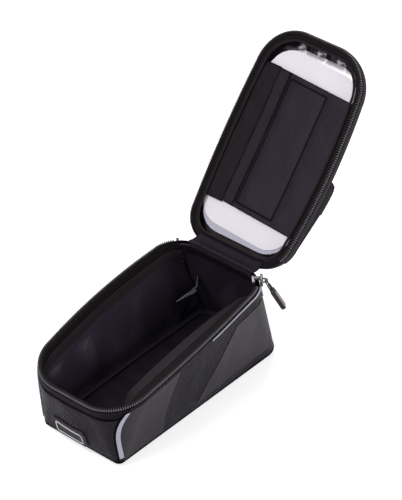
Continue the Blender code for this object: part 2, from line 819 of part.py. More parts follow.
def chain_stations(start, end):
    """Span parameters half a tooth pitch apart along the rim."""
    fine = np.linspace(start, end, 1400)
    points = np.array([rim_xy(u) for u in fine])
    steps = np.linalg.norm(np.diff(points, axis=0), axis=1)
    travelled = np.concatenate([[0.0], np.cumsum(steps)])
    teeth = int(travelled[-1] / TOOTH_PITCH)
    return np.interp(np.linspace(0, travelled[-1], 2 * teeth + 1), travelled, fine)


def build_chains():
    start = beside(SLIDER_U, 1, CHAIN_START_CLEARANCE) - 8.0
    end = STOP_U
    for name, place, low, high, colour in (
            ("zip_chain_body", on_rim, GAP, GAP + CHAIN_HEIGHT, COIL),
            ("zip_chain_lid", on_lid, -GAP - CHAIN_HEIGHT, -GAP, COIL)):
        sections = []
        for k, u in enumerate(chain_stations(start, end)):
            cut = TOOTH_DEPTH if k % 2 else 0.0
            outer = CHAIN_INSET + cut
            inner = CHAIN_INSET + CHAIN_WIDTH - cut
            bottom = low if place is on_rim else low + cut
            top = high - cut if place is on_rim else high
            root, crest = (bottom, top) if place is on_rim else (top, bottom)
            sections.append([place(u, outer, root), place(u, inner, root), place(u, (outer + inner) / 2, crest)])
        sweep(name, sections, colour, roughness=0.5, origin=None if place is on_rim else HINGE)
    sections = []
    for step in (0.6, 2.6):
        u = beside(STOP_U, 1, step)
        sections.append([on_rim(u, 0.2, GAP), on_rim(u, 3.6, GAP), on_rim(u, 3.6, 2.4), on_rim(u, 0.2, 2.4)])
    sweep("zip_end_stop", sections, METAL, roughness=0.3, metallic=1.0)


def lid_ring(name, profile, colour, start=0.0, end=7.99, fine=(6, 6, 2), **look):
    """Ring piece of the lid: a cross-section of insets and levels carried round the rim's outline."""
    stations = spans(start, end, side=fine[0], corner=fine[1], finish=fine[2])
    loop = end - start > 7.9
    if loop:
        stations = stations[:-1]
    sections = [[on_lid(u, inset, level) for inset, level in profile] for u in stations]
    return sweep(name, sections, colour, loop=loop, origin=HINGE, **look)


def build_lid_shell():
    top = LID_DEPTH
    wall_in = LID_WALL
    profile = [(0.0, 0.0), (0.8, top * 0.5), (2.1, top - 2.4), (4.1, top - 0.6), (6.8, top), (LID_BORDER, top),
               (LID_BORDER, top - wall_in), (7.0, top - wall_in), (4.3, top - wall_in - 1.5),
               (wall_in + 0.9, top * 0.5), (wall_in, 0.0)]
    lid_ring("lid_shell", profile, DARK_FABRIC, roughness=0.6)
    lid_ring("zip_tape_lid", [(wall_in + GAP, 0.2), (LID_TAPE_INNER, 0.2), (LID_TAPE_INNER, 0.8),
                              (wall_in + GAP, 0.8)], TAPE_BROWN)
    centre = LID_TAPE_INNER + GAP + BINDING_RADIUS
    ring = []
    for k in range(5):
        angle = 2 * math.pi * k / 5 + math.pi / 2
        ring.append((centre + BINDING_RADIUS * math.cos(angle), BINDING_RADIUS * math.sin(angle) - 0.3))
    lid_ring("lid_binding", ring, BINDING_GREY)
    level = top + GAP
    bead = [(LID_BORDER - 3.0, level), (LID_BORDER - 2.4, level + 0.9), (LID_BORDER - 0.4, level + 0.9),
            (LID_BORDER + 0.2, level)]
    lid_ring("window_bead", bead, DARK_FABRIC, roughness=0.4)


def film_level(x_share, y_share):
    """The clear film sags a little between its edges."""
    return -0.3 * (1 - y_share ** 2) * math.sin(math.pi * x_share)


def build_window():
    stations = spans(7.0, 10.0)
    outer = []
    inner = []
    for u in stations:
        edge = rim_xy(u) - outward(u) * (LID_BORDER / 2 + 0.8)
        share = (u - 7.0) / 3.0
        x = edge[0]
        top_row = []
        low_row = []
        for k in range(3):
            across = -1 + k
            for row, level in ((top_row, FILM_LEVEL + FILM_THICKNESS), (low_row, FILM_LEVEL)):
                lift = CHAIN_STACK + level + film_level(share, across)
                point = np.array([x, edge[1] * -across, rim_height(x)]) + LID_NORMAL * lift
                row.append(opened(point))
        outer.append(top_row)
        inner.append(low_row)
    slab("window_film", outer, inner, CLEAR, roughness=0.1, origin=HINGE)


def flap_level(distance, y):
    """Stitch lines pull the quilted flap in by a little."""
    pull = 0.0
    for line in (STITCH_LEFT, STITCH_RIGHT):
        pull = max(pull, math.exp(-((y - line) / 1.6) ** 2))
    ripple = 0.25 * math.sin(distance / 6.5) * math.cos(y / 9.0)
    return 0.35 * pull + ripple * (1 - pull)


def lid_sheet(name, near, far, right, left, level, thickness, colour, columns, rows=9, shape=None, **look):
    outer = []
    inner = []
    for i in range(rows):
        distance = near + (far - near) * i / (rows - 1)
        outer_row = []
        inner_row = []
        for y in columns:
            place = right + (left - right) * y
            extra = shape(distance, place) if shape else 0.0
            skewed = distance - FLAP_SKEW * max(FLAP_LEFT - place, 0.0) / (FLAP_LEFT - FLAP_RIGHT)
            outer_row.append(in_lid(skewed, place, level + thickness + extra))
            inner_row.append(in_lid(skewed, place, level + extra))
        outer.append(outer_row)
        inner.append(inner_row)
    return slab(name, outer, inner, colour, origin=HINGE, **look)


def even(count):
    return [k / (count - 1) for k in range(count)]


def build_flap():
    width = FLAP_LEFT - FLAP_RIGHT
    columns = []
    for line in (STITCH_RIGHT, STITCH_LEFT):
        middle = (line - FLAP_RIGHT) / width
        columns += [middle - 3.0 / width, middle, middle + 3.0 / width]
    columns += [0.0, 0.16, 0.5, 0.92, 1.0]
    columns = sorted(columns)
    lid_sheet("phone_flap", FLAP_NEAR, FLAP_FAR, FLAP_RIGHT, FLAP_LEFT, FLAP_LEVEL, FLAP_THICKNESS, NYLON, columns,
              rows=13, shape=flap_level, roughness=0.5)
    lid_sheet("flap_edge_band", FLAP_NEAR + 0.5, FLAP_FAR - 0.5, STITCH_LEFT + 1.6, FLAP_LEFT - 0.2,
              FLAP_LEVEL - GAP - 0.65, 0.4, BINDING_GREY, even(2))
    lid_sheet("flap_mount_strip", FLAP_NEAR - 1.0, FLAP_FAR + 0.5, FLAP_LEFT + GAP, MOUNT_STRIP_LEFT, FLAP_LEVEL,
              FLAP_THICKNESS, TAPE_BROWN, even(3))
    lid_sheet("flap_hook_tape", FLAP_NEAR + 6.0, FLAP_FAR - 6.0, STITCH_RIGHT + 2.4, STITCH_LEFT - 2.4,
              FLAP_LEVEL + FLAP_THICKNESS + GAP + 0.15, 0.3, DARK_FABRIC, even(2))


def card(name, centre, middle, length, width, turn, level, thickness, colour):
    """Rounded card, turned a little in the sleeve."""
    rows = 7
    shares = []
    for k in range(rows):
        shares.append(CARD_RADIUS * (1 - math.cos(math.pi / 2 * k / (rows - 1))))
    lengths = shares + [length * k / 6 for k in range(2, 5)] + [length - share for share in reversed(shares)]
    outer = []
    inner = []
    for along in lengths:
        edge = min(along, length - along)
        cut = 0.0
        if edge < CARD_RADIUS:
            cut = CARD_RADIUS - math.sqrt(max(CARD_RADIUS ** 2 - (CARD_RADIUS - edge) ** 2, 0.0))
        half = width / 2 - cut
        outer_row = []
        inner_row = []
        for k in range(3):
            y = half * (k - 1)
            s = along - length / 2
            distance = centre + s * math.cos(turn) - y * math.sin(turn)
            place = middle + s * math.sin(turn) + y * math.cos(turn)
            outer_row.append(in_lid(distance, place, level + thickness))
            inner_row.append(in_lid(distance, place, level))
        outer.append(outer_row)
        inner.append(inner_row)
    slab(name, outer, inner, colour, roughness=0.5, origin=HINGE)


def build_cards():
    card("sleeve_insert", CARD_MIDDLE, CARD_SIDE, CARD_LENGTH, CARD_WIDTH, -CARD_TURN, CARD_LEVEL, CARD_THICKNESS,
         WHITE)
    card("sleeve_insert_back", CARD_BACK_MIDDLE, 0.0, CARD_LENGTH, CARD_WIDTH - 2, 0.0,
         CARD_LEVEL + CARD_THICKNESS + GAP, CARD_THICKNESS, CARD_BACK)


def hood_rise(distance):
    share = min(max((distance - HOOD_START) / (HOOD_CREST - HOOD_START), 0.0), 1.0)
    return HOOD_LIP + (HOOD_HEIGHT - HOOD_LIP) * share ** HOOD_SWELL


def build_hood():
    """Canopy over the hinge half of the window, open toward the badge end."""
    base = LID_DEPTH + GAP
    outer = []
    inner = []
    along = 9
    around = 16
    for i in range(along + 1):
        distance = HOOD_START + (HOOD_MOUTH - HOOD_START) * i / along
        x = RIM_X_HINGE - distance * math.cos(LID_TILT)
        turn = max(RIM_RADIUS_HINGE - distance, 0.0)
        reach = half_width(min(x, RIM_X_HINGE - RIM_RADIUS_HINGE))
        reach = reach - RIM_RADIUS_HINGE + math.sqrt(RIM_RADIUS_HINGE ** 2 - turn ** 2)
        outer_row = []
        inner_row = []
        for row, wall_in in ((outer_row, 0.0), (inner_row, HOOD_WALL)):
            width = reach - HOOD_INSET - wall_in
            height = hood_rise(distance) - wall_in
            for k in range(around + 1):
                angle = math.pi * k / around
                c = math.cos(angle)
                s = math.sin(angle)
                y = -width * math.copysign(abs(c) ** (2 / HOOD_POWER), c)
                up = height * abs(s) ** (2 / HOOD_POWER)
                round_off = 1 - math.sqrt(1 - min(up / HOOD_HEIGHT, 1.0) ** 2)
                rake = HOOD_RAKE * round_off * (i / along) ** 3
                row.append(in_lid(distance - rake, y, base + up))
        outer.append(outer_row)
        inner.append(inner_row)
    slab("visor_hood", outer, inner, DARK_FABRIC, roughness=0.6, origin=HINGE)


def build_hinge():
    reach = HINGE_HALF_WIDTH
    sections = []
    for y in (-reach, reach):
        ring = []
        for j in range(8):
            angle = 2 * math.pi * j / 8
            ring.append(HINGE + np.array([PIPING_RADIUS * math.cos(angle), y, PIPING_RADIUS * math.sin(angle)]))
        sections.append(ring)
    sweep("hinge_piping", sections, DARK_FABRIC)
    start = 6.5 - HINGE_STRIP_SPAN
    end = 6.5 + HINGE_STRIP_SPAN
    wall_patch("hinge_strip", lambda h: start, lambda h: end, lambda u: drop(u, HINGE_STRIP_DROP),
               lambda u: drop(u, HINGE_STRIP_TOP), GAP + HINGE_STRIP_THICKNESS, HINGE_STRIP_THICKNESS, DARK_FABRIC,
               rows=3)
    outer = []
    inner = []
    for u in spans(start, end):
        levels = [HINGE_STRIP_FOOT, 0.0, 4.0, 8.0]
        outer.append([on_lid(u, -GAP - HINGE_STRIP_THICKNESS, level) for level in levels])
        inner.append([on_lid(u, -GAP, level) for level in levels])
    slab("hinge_strip_lid", outer, inner, DARK_FABRIC, origin=HINGE)


def slider_frame():
    origin = on_rim(SLIDER_U, 0.0, 0.0)
    side = outward(SLIDER_U)
    out = np.array([side[0], side[1], 0.0])
    along = np.cross(out, np.array([0.0, 0.0, 1.0]))
    return origin, along, out, np.array([0.0, 0.0, 1.0])


def hidden_tool(tool):
    tool.hide_render = True
    tool.display_type = "WIRE"


def join(target, tool, operation):
    change = target.modifiers.new(operation.lower(), "BOOLEAN")
    change.operation = operation
    change.solver = "EXACT"
    change.object = tool
    hidden_tool(tool)


def block(name, frame, low, high, colour, **look):
    """Box in a local frame of along, out and up."""
    origin, along, out, up = frame
    rings = []
    for c in (low[2], high[2]):
        ring = []
        for a, b in ((low[0], low[1]), (high[0], low[1]), (high[0], high[1]), (low[0], high[1])):
            ring.append(origin + along * a + out * b + up * c)
        rings.append(ring)
    return sweep(name, rings, colour, **look)


def build_slider():
    """Two plates joined by a post, and a bail that holds the link."""
    frame = slider_frame()
    origin, along, out, up = frame
    outline = [(-5.2, 0.6), (-3.0, -1.1), (4.6, -1.1), (4.6, 5.3), (-3.0, 5.3), (-5.2, 3.6)]
    rings = []
    for b in (1.6, 2.8):
        rings.append([origin + along * a + out * b + up * c for a, c in outline])
    slider = sweep("zip_slider", rings, METAL, roughness=0.3, metallic=1.0)
    join(slider, block("slider_inner", frame, (-4.4, -5.9, 0.4), (4.2, -4.7, 3.9), METAL), "UNION")
    join(slider, block("slider_post", frame, (-4.0, -5.0, 1.4), (-1.4, 2.0, 2.8), METAL), "UNION")
    pivot = origin + out * PIVOT_OUT + up * PIVOT_UP
    reach = WIRE_RADIUS + GAP + 0.75
    depth = PIVOT_OUT - 2.5
    path = [pivot - out * depth + up * reach]
    for k in range(7):
        angle = math.pi * k / 6
        path.append(pivot + up * reach * math.cos(angle) + out * reach * math.sin(angle))
    path.append(pivot - out * depth - up * reach)
    bail = sweep("slider_bail", tube_sections(path, 0.6, sides=8, up=along), METAL)
    join(slider, bail, "UNION")
    return pivot, along, out


def pull_frame():
    """Frame of the pull: across it, along its length and through its thickness."""
    origin, along, out, up = slider_frame()
    pivot = origin + out * PIVOT_OUT + up * PIVOT_UP
    lean = math.radians(PULL_LEAN_DEG)
    down = out * math.sin(lean) - up * math.cos(lean)
    face = out * math.cos(lean) + up * math.sin(lean)
    return pivot, along, down, face


def build_pull():
    pivot, along, down, face = pull_frame()
    corners = rounded_rectangle(LINK_WIDTH, LINK_LENGTH, 1.3, steps=3)
    path = [pivot + down * (LINK_LENGTH / 2) + along * a + down * b for a, b in corners]
    count = len(path)
    sections = []
    for i, centre in enumerate(path):
        ahead = path[(i + 1) % count] - path[(i - 1) % count]
        ahead = ahead / np.linalg.norm(ahead)
        side = np.cross(ahead, face)
        ring = []
        for k in range(8):
            angle = 2 * math.pi * k / 8
            ring.append(centre + WIRE_RADIUS * (side * math.cos(angle) + face * math.sin(angle)))
        sections.append(ring)
    sweep("pull_link", sections, METAL, loop=True, roughness=0.3, metallic=1.0, origin=pivot)

    eye = pivot + down * LINK_LENGTH
    neck = LINK_WIDTH / 2 - WIRE_RADIUS - 2 * GAP
    hole = WIRE_RADIUS + GAP + 0.05
    half = TAB_WIDTH / 2
    top = -hole - 1.0
    shoulder = hole + 1.6
    outline = [(-neck, top), (neck, top), (neck, shoulder), (half, shoulder + 1.8)]
    for k in range(7):
        angle = math.pi * k / 6
        outline.append((half * math.cos(angle), TAB_LENGTH - half + half * math.sin(angle)))
    outline += [(-half, shoulder + 1.8), (-neck, shoulder)]
    rings = []
    for depth in (-TAB_THICKNESS / 2, TAB_THICKNESS / 2):
        rings.append([eye + along * a + down * b + face * depth for a, b in outline])
    tab = sweep("pull_tab", rings, RUBBER, roughness=0.5, origin=eye)
    rings = []
    for side in (-half, half):
        ring = []
        for k in range(12):
            angle = 2 * math.pi * k / 12
            ring.append(eye + along * side + hole * (down * math.cos(angle) + face * math.sin(angle)))
        rings.append(ring)
    soften = tab.modifiers.new("edges", "BEVEL")
    soften.width = TAB_EDGE * MM
    soften.segments = 2
    soften.limit_method = "ANGLE"
    soften.angle_limit = math.radians(50)
    join(tab, sweep("pull_eye_cutter", rings, RUBBER), "DIFFERENCE")
    rings = []
    plate = rounded_rectangle(TAB_WIDTH - 2.6, TAB_LENGTH - shoulder - 5.0, 1.6)
    centre = eye + down * (shoulder + TAB_LENGTH) / 2 + down * 0.6
    for depth in (TAB_THICKNESS / 2 + GAP / 3, TAB_THICKNESS / 2 + GAP / 3 + FACE_THICKNESS):
        rings.append([centre + along * a + down * b + face * depth for a, b in plate])
    sweep("pull_face", rings, METAL, roughness=0.4, origin=eye)


def build():
    remove_old()
    build_base()
    build_webbing()
    build_panels()
    build_lining()
    build_inner_bands()
    build_floor_binding()
    build_corner_bindings()
    build_tag()
    build_gloss()
    build_trims()
    build_badge()
    build_chains()
    build_lid_shell()
    build_window()
    build_flap()
    build_cards()
    build_hood()
    build_hinge()
    build_slider()
    build_pull()


build()
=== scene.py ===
"""Looks of the frame bag: cloth, film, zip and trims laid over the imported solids."""
import math

import bpy
import numpy as np
from mathutils import Matrix, Vector


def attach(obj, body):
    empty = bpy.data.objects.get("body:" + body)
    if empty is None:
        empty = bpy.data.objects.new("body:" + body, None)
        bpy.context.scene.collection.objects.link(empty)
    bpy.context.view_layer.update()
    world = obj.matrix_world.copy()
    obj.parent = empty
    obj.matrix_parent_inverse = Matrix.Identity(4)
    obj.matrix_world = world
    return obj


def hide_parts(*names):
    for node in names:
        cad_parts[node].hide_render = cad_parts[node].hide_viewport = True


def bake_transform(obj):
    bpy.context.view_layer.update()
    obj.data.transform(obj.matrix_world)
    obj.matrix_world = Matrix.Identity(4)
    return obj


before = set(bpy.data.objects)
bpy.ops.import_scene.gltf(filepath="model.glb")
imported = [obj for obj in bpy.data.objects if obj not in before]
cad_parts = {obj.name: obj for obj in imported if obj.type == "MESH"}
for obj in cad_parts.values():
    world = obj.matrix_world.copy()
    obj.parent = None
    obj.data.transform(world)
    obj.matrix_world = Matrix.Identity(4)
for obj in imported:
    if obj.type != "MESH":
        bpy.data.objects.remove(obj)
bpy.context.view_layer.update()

# Sizes repeated from the solids, in millimetres
MM = 0.001
TURN = 2 * math.pi
SPANS = 8.0
MIRROR = 5.0
GAP = 0.3
NUDGE = 0.004
BASE_LENGTH = 190.0
BASE_WIDTH_BADGE = 77.0
BASE_WIDTH_HINGE = 82.0
BASE_RADIUS_BADGE = 4.5
BASE_RADIUS_HINGE = 18.0
RIM_X_BADGE = -107.0
RIM_X_HINGE = 70.0
RIM_HALF = (46.5, 52.0, 46.0)
RIM_RADIUS_BADGE = 34.0
RIM_RADIUS_HINGE = 25.0
RIM_Z = (52.0, 70.4, 82.0)
LIFT = 2.7
PANEL = 2.4
PANEL_BULGE = 1.6
PANEL_EDGE = 1.1
LINING = 0.6
LINING_GAP = 0.5
LINING_INNER = PANEL + LINING_GAP + LINING
BOARD = 1.2
TAPE = 0.6
COLLAR_HEIGHT = 8.0
COLLAR_THIN = 0.5
BINDING_RADIUS = 1.0
FLOOR_BINDING_INSET = 9.5
FLOOR_BINDING_WIDE = 1.9
CHAIN_HEIGHT = 1.8
CHAIN_WIDTH = 3.0
CHAIN_INSET = 0.35
CHAIN_STACK = 2 * CHAIN_HEIGHT + 3 * GAP
SLIDER_U = 7.52
STOP_U = 5.5
LID_OPEN = math.radians(139.0)
LID_DEPTH = 12.4
LID_WALL = 1.8
LID_BORDER = 12.5
FILM_LEVEL = 9.9
LID_TAPE_INNER = 6.3
FLAP_LEVEL = 1.0
FLAP_THICKNESS = 0.5
HINGE_OUT = 1.2
FLAP_NEAR = 35.5
FLAP_FAR = 147.5
FLAP_SKEW = 3.5
FLAP_TUCK = 3.0
FLAP_LEFT = 26.6
FLAP_RIGHT = -44.0
STITCH_LEFT = 15.0
STITCH_RIGHT = -20.5
MOUNT_STRIP_LEFT = 44.0
HOOD_START = 12.2
HOOD_MOUTH = 84.0
HOOD_HEIGHT = 15.5
HOOD_INSET = 3.4
HOOD_LIP = 1.2
HOOD_WALL = 1.8
HOOD_RAKE = 22.0
HOOD_CREST = 68.0
HOOD_ROUND = 11.0
HOOD_SWELL = 1.2
HOOD_POWER = 4.5
BADGE_Y = 6.7
BADGE_Z = 11.7
TRIM_WIDTH = 3.4
HINGE_CORNER = 7.5
TRIM_PEAK_U = 1.51
TRIM_PEAK_H = 0.52
TRIM_CURVE = 0.99
TRIM_THICKNESS = 0.7
TIP_END_U = 0.42
TIP_DROP = 1.6
TIP_WIDTH = 4.3
TIP_THIN = 0.9
TIP_TAIL = 0.18
TAPE_WIDTH = 7.0
BAND_WIDTH = 10.0
BAND_RAISED = 0.2
BAND_BACK = 0.7
LINING_ROWS = 40
FLOOR_ROWS = 34
LEAN_MOST = 0.8
LEAN_PEAK = 0.7
LEAN_FRONT = 0.95
LEAN_REAR = 1.2
LEAN_SHIFT = 1.1
LEAN_FOOT = 0.35
LEAN_POWER = 1.6
TAG_U = 5.75
TAG_H = 0.56
TAG_OFF = 1.75
TAG_HALF = 2.0
PIPING_RADIUS = 0.95
PIVOT_OUT = 4.5
PIVOT_UP = 2.1
WIRE_RADIUS = 0.65
WEBBING_THICKNESS = 1.2
WEBBING_LENGTH = 156.0
WEBBING_WIDTH = 30.0
WEBBING_SLOT = 46.0
BADGE_LENGTH = 34.0
BADGE_HEIGHT = 16.5
BADGE_RADIUS = 4.0
FRAME_LENGTH = 27.5
FRAME_HEIGHT = 11.0
FRAME_RADIUS = 2.6
FLAP_SEAM = 4.5
TOOTH_PITCH = 1.8
STITCH_SINK = 0.06

# Cloth trial, at a tenth of real size in millimetres
TRIAL_SCALE = 0.1
TRIAL_FRAMES = 18
GOLDEN_ANGLE = 2.399963
TRIAL_CLOTH = {"quality": 6, "mass": 0.25, "tension_stiffness": 12, "compression_stiffness": 12,
               "shear_stiffness": 4, "bending_stiffness": 0.6, "use_pressure": True}
HELD_FOOT = 0.04
HELD_RIM = 0.97
HELD_BESIDE = 1.6
SEAM_REACH = 7.0
CALM_SPAN = 40.0
CALM_REACH = 10.0

# Camera fitted to the photograph, in millimetres, degrees and picture heights
VIEW_AZIMUTH = -49.81
VIEW_ELEVATION = 36.44
VIEW_HEIGHT = 62.7
VIEW_RIGHT = 28.25
VIEW_UP = 53.77
VIEW_DISTANCE = 2137.8
VIEW_FOCUS = 2837.67 / 500

# Lamps: name, place in metres, size in metres, power in watts
LAMPS = (("key", (-0.9, 0.35, 1.5), 1.0, 15.5), ("fill", (0.5, -1.5, 0.9), 1.0, 12.5),
         ("front", (-1.5, -0.9, 0.8), 1.0, 2.2), ("back", (1.2, 0.9, 1.1), 0.8, 8.0))
LAMP_AIM = (0.03, 0, 0.08)
LAMP_TINT = (1.0, 0.975, 1.02)
ROOM_LIGHT = 0.22
FLOOR_REACH = 6.0
FLOOR_GREY = 0.88
FLOOR_GLOW = 0.62

# Colours
DARK = (0.0085, 0.0072, 0.0096)
DOTTED = (0.0165, 0.0145, 0.0196)
NYLON = (0.0180, 0.0152, 0.0222)
LINING_BLUE = (0.0400, 0.0345, 0.0505)
TAPE_DARK = (0.0150, 0.0124, 0.0138)
TAPE_BROWN = (0.0310, 0.0250, 0.0270)
BINDING_GREY = (0.0270, 0.0228, 0.0240)
SMOOTH_FILM = (0.0240, 0.0216, 0.0227)
REFLECTIVE = (0.50, 0.52, 0.58)
COIL = (0.150, 0.140, 0.145)
METAL = (0.30, 0.285, 0.285)
RUBBER = (0.0100, 0.0092, 0.0105)
CARD = (0.965, 0.950, 0.985)
# second sheet of white card, coloured grey-lilac: painted shade
CARD_BACK_IN_PAINTED_SHADE = (0.56, 0.56, 0.64)
CLEAR = (0.70, 0.71, 0.76)
THREAD = (0.018, 0.016, 0.020)
# near-black thread: thread colour with the stitch grooves' shade painted in
THREAD_WITH_GROOVE_SHADE = (0.003, 0.003, 0.004)
BROWN_CLOTH = (0.0092, 0.0074, 0.0086)
BAND_CLOTH = (0.0165, 0.0145, 0.0190)
PALE_PRINT = (0.78, 0.78, 0.78)
PULL_FACE = (0.46, 0.43, 0.43)
RIBBON = (0.25, 0.25, 0.27)
STIFFENER = (0.05, 0.05, 0.05)
GLOSS_TINT = (1.0, 0.90, 1.0, 1)
COAT_ROUGHNESS = 0.16
MOTTLE_SCALE = 45.0
MOTTLE_DULL = 0.08
# painted shade: share by which the seam attribute darkens colour and gloss
PAINTED_SHADE_STRENGTH = 0.8
SEAM_DULL = 0.3
DOT_INNER = 0.26
DOT_OUTER = 0.44
CARD_END = 161.0


# Camera, floor and light
def camera():
    azimuth = math.radians(VIEW_AZIMUTH)
    elevation = math.radians(VIEW_ELEVATION)
    right = Vector((math.cos(azimuth), math.sin(azimuth), 0))
    back = Vector((math.sin(azimuth) * math.cos(elevation), -math.cos(azimuth) * math.cos(elevation),
                   math.sin(elevation)))
    up = back.cross(right)
    target = Vector((0, 0, VIEW_HEIGHT)) + right * VIEW_RIGHT + up * VIEW_UP
    lens = bpy.data.cameras.new("camera")
    lens.sensor_width = 36
    lens.lens = VIEW_FOCUS * lens.sensor_width
    lens.clip_end = 20
    place = Matrix.Translation((target + back * VIEW_DISTANCE) * MM)
    bpy.context.scene.camera = placed_object("camera", lens)
    bpy.context.scene.camera.matrix_world = place @ Matrix((right, up, back)).transposed().to_4x4()
    bpy.context.scene.view_settings.view_transform = "Standard"


def placed_object(name, data):
    new = bpy.data.objects.new(name, data)
    bpy.context.scene.collection.objects.link(new)
    return new


def lamps():
    for name, where, size, power in LAMPS:
        light = bpy.data.lights.new(name, "AREA")
        light.shape = "DISK"
        light.size = size
        light.energy = power
        light.color = LAMP_TINT
        direction = Vector(LAMP_AIM) - Vector(where)
        lamp = placed_object(name, light)
        turned = direction.to_track_quat("-Z", "Y").to_matrix().to_4x4()
        lamp.matrix_world = Matrix.Translation(where) @ turned


def room():
    """Dim room light on the part, and a white background for the camera and through the film."""
    world = bpy.data.worlds.new("studio")
    bpy.context.scene.world = world
    world.use_nodes = True
    tree = world.node_tree
    seen = add(tree, "ShaderNodeLightPath")
    shown = maths(tree, "MAXIMUM", seen.outputs["Is Camera Ray"], seen.outputs["Is Transmission Ray"])
    strength = maths(tree, "MULTIPLY_ADD", shown, 1 - ROOM_LIGHT, ROOM_LIGHT)
    tree.links.new(strength, tree.nodes["Background"].inputs["Strength"])
    colour = mixed(tree, shown, LAMP_TINT + (1,), (1, 1, 1, 1))
    tree.links.new(colour, tree.nodes["Background"].inputs["Color"])


def floor():
    mesh = bpy.data.meshes.new("floor")
    corners = [(x * FLOOR_REACH, y * FLOOR_REACH, 0) for x, y in ((-1, -1), (1, -1), (1, 1), (-1, 1))]
    mesh.from_pydata(corners, [], [(0, 1, 2, 3)])
    placed_object("floor", mesh)
    material = bpy.data.materials.new("floor")
    material.use_nodes = True
    tree = material.node_tree
    shader = tree.nodes["Principled BSDF"]
    shader.inputs["Base Color"].default_value = (FLOOR_GREY, FLOOR_GREY, FLOOR_GREY, 1)
    shader.inputs["Roughness"].default_value = 0.9
    shader.inputs["Emission Color"].default_value = (1, 1, 1, 1)
    glow = maths(tree, "MULTIPLY", add(tree, "ShaderNodeLightPath").outputs["Is Camera Ray"], FLOOR_GLOW)
    tree.links.new(glow, shader.inputs["Emission Strength"])
    mesh.materials.append(material)


# Material nodes
def add(tree, kind, values=(), **attributes):
    """New node. values maps a socket's name or number to a value or to an output that feeds it."""
    node = tree.nodes.new(kind)
    for key, value in attributes.items():
        setattr(node, key, value)
    for key, value in dict(values).items():
        if isinstance(value, bpy.types.NodeSocket):
            tree.links.new(value, node.inputs[key])
        else:
            node.inputs[key].default_value = value
    return node


def maths(tree, operation, first, second=0.5, third=0.5):
    return add(tree, "ShaderNodeMath", {0: first, 1: second, 2: third}, operation=operation).outputs[0]


def vector_maths(tree, operation, first, second=(0, 0, 0)):
    return add(tree, "ShaderNodeVectorMath", {0: first, 1: second}, operation=operation).outputs[0]


def mixed(tree, share, first, second):
    """Colour between two colours."""
    node = add(tree, "ShaderNodeMix", {0: share}, data_type="RGBA")
    ends = [socket for socket in node.inputs if socket.type == "RGBA"]
    ends[0].default_value = first
    ends[1].default_value = second
    return [socket for socket in node.outputs if socket.type == "RGBA"][0]


def scaled(tree, colour, factor):
    return add(tree, "ShaderNodeVectorMath", {0: colour, 3: factor}, operation="SCALE").outputs[0]


def ramp(tree, value, low, high, out_low=0.0, out_high=1.0):
    values = {"Value": value, "From Min": low, "From Max": high, "To Min": out_low, "To Max": out_high}
    return add(tree, "ShaderNodeMapRange", values, interpolation_type="SMOOTHSTEP").outputs["Result"]


def noise(tree, scale, detail=3.0, distortion=0.0, stretch=(1, 1, 1)):
    place = add(tree, "ShaderNodeTexCoord").outputs["Object"]
    place = vector_maths(tree, "MULTIPLY", place, stretch)
    values = {"Vector": place, "Scale": scale, "Detail": detail, "Distortion": distortion}
    return add(tree, "ShaderNodeTexNoise", values).outputs["Fac"]


def flat_map(tree):
    return add(tree, "ShaderNodeUVMap", uv_map="cloth").outputs["UV"]


def weave(tree, pitch_x, pitch_y):
    """Threads over and under, at a pitch in millimetres on the cloth's own map."""
    turn = 2 * math.pi
    waves = vector_maths(tree, "SINE", vector_maths(tree, "MULTIPLY", flat_map(tree),
                                                    (turn / pitch_x, turn / pitch_y, 0)))
    parts = add(tree, "ShaderNodeSeparateXYZ", {0: waves})
    return maths(tree, "MULTIPLY", parts.outputs[0], parts.outputs[1])


def hex_dots(tree, pitch):
    """Raised round dots in staggered rows."""
    tall = math.sqrt(3)
    place = vector_maths(tree, "MULTIPLY", flat_map(tree), (1 / pitch, 1 / pitch / tall, 0))
    nearest = None
    for shift in (0.0, 0.5):
        cell = vector_maths(tree, "FRACTION", vector_maths(tree, "ADD", place, (shift, shift, 0)))
        cell = vector_maths(tree, "SUBTRACT", cell, (0.5, 0.5, 0))
        cell = vector_maths(tree, "MULTIPLY", cell, (1, tall, 0))
        distance = add(tree, "ShaderNodeVectorMath", {0: cell}, operation="LENGTH").outputs["Value"]
        nearest = distance if nearest is None else maths(tree, "MINIMUM", nearest, distance)
    return ramp(tree, nearest, DOT_INNER, DOT_OUTER, 1.0, 0.0)


# Patterns of a finish: function of the tree, depth of the bump in mm and share of lightening
def dots(pitch, depth, lighten):
    return lambda tree: hex_dots(tree, pitch), depth, lighten


def woven(across, along, depth, lighten):
    return lambda tree: weave(tree, across, along), depth, lighten


def creased(scale, depth, stretch=(1, 1, 1)):
    return lambda tree: noise(tree, scale, 5.0, 1.2, stretch), depth, 0.0


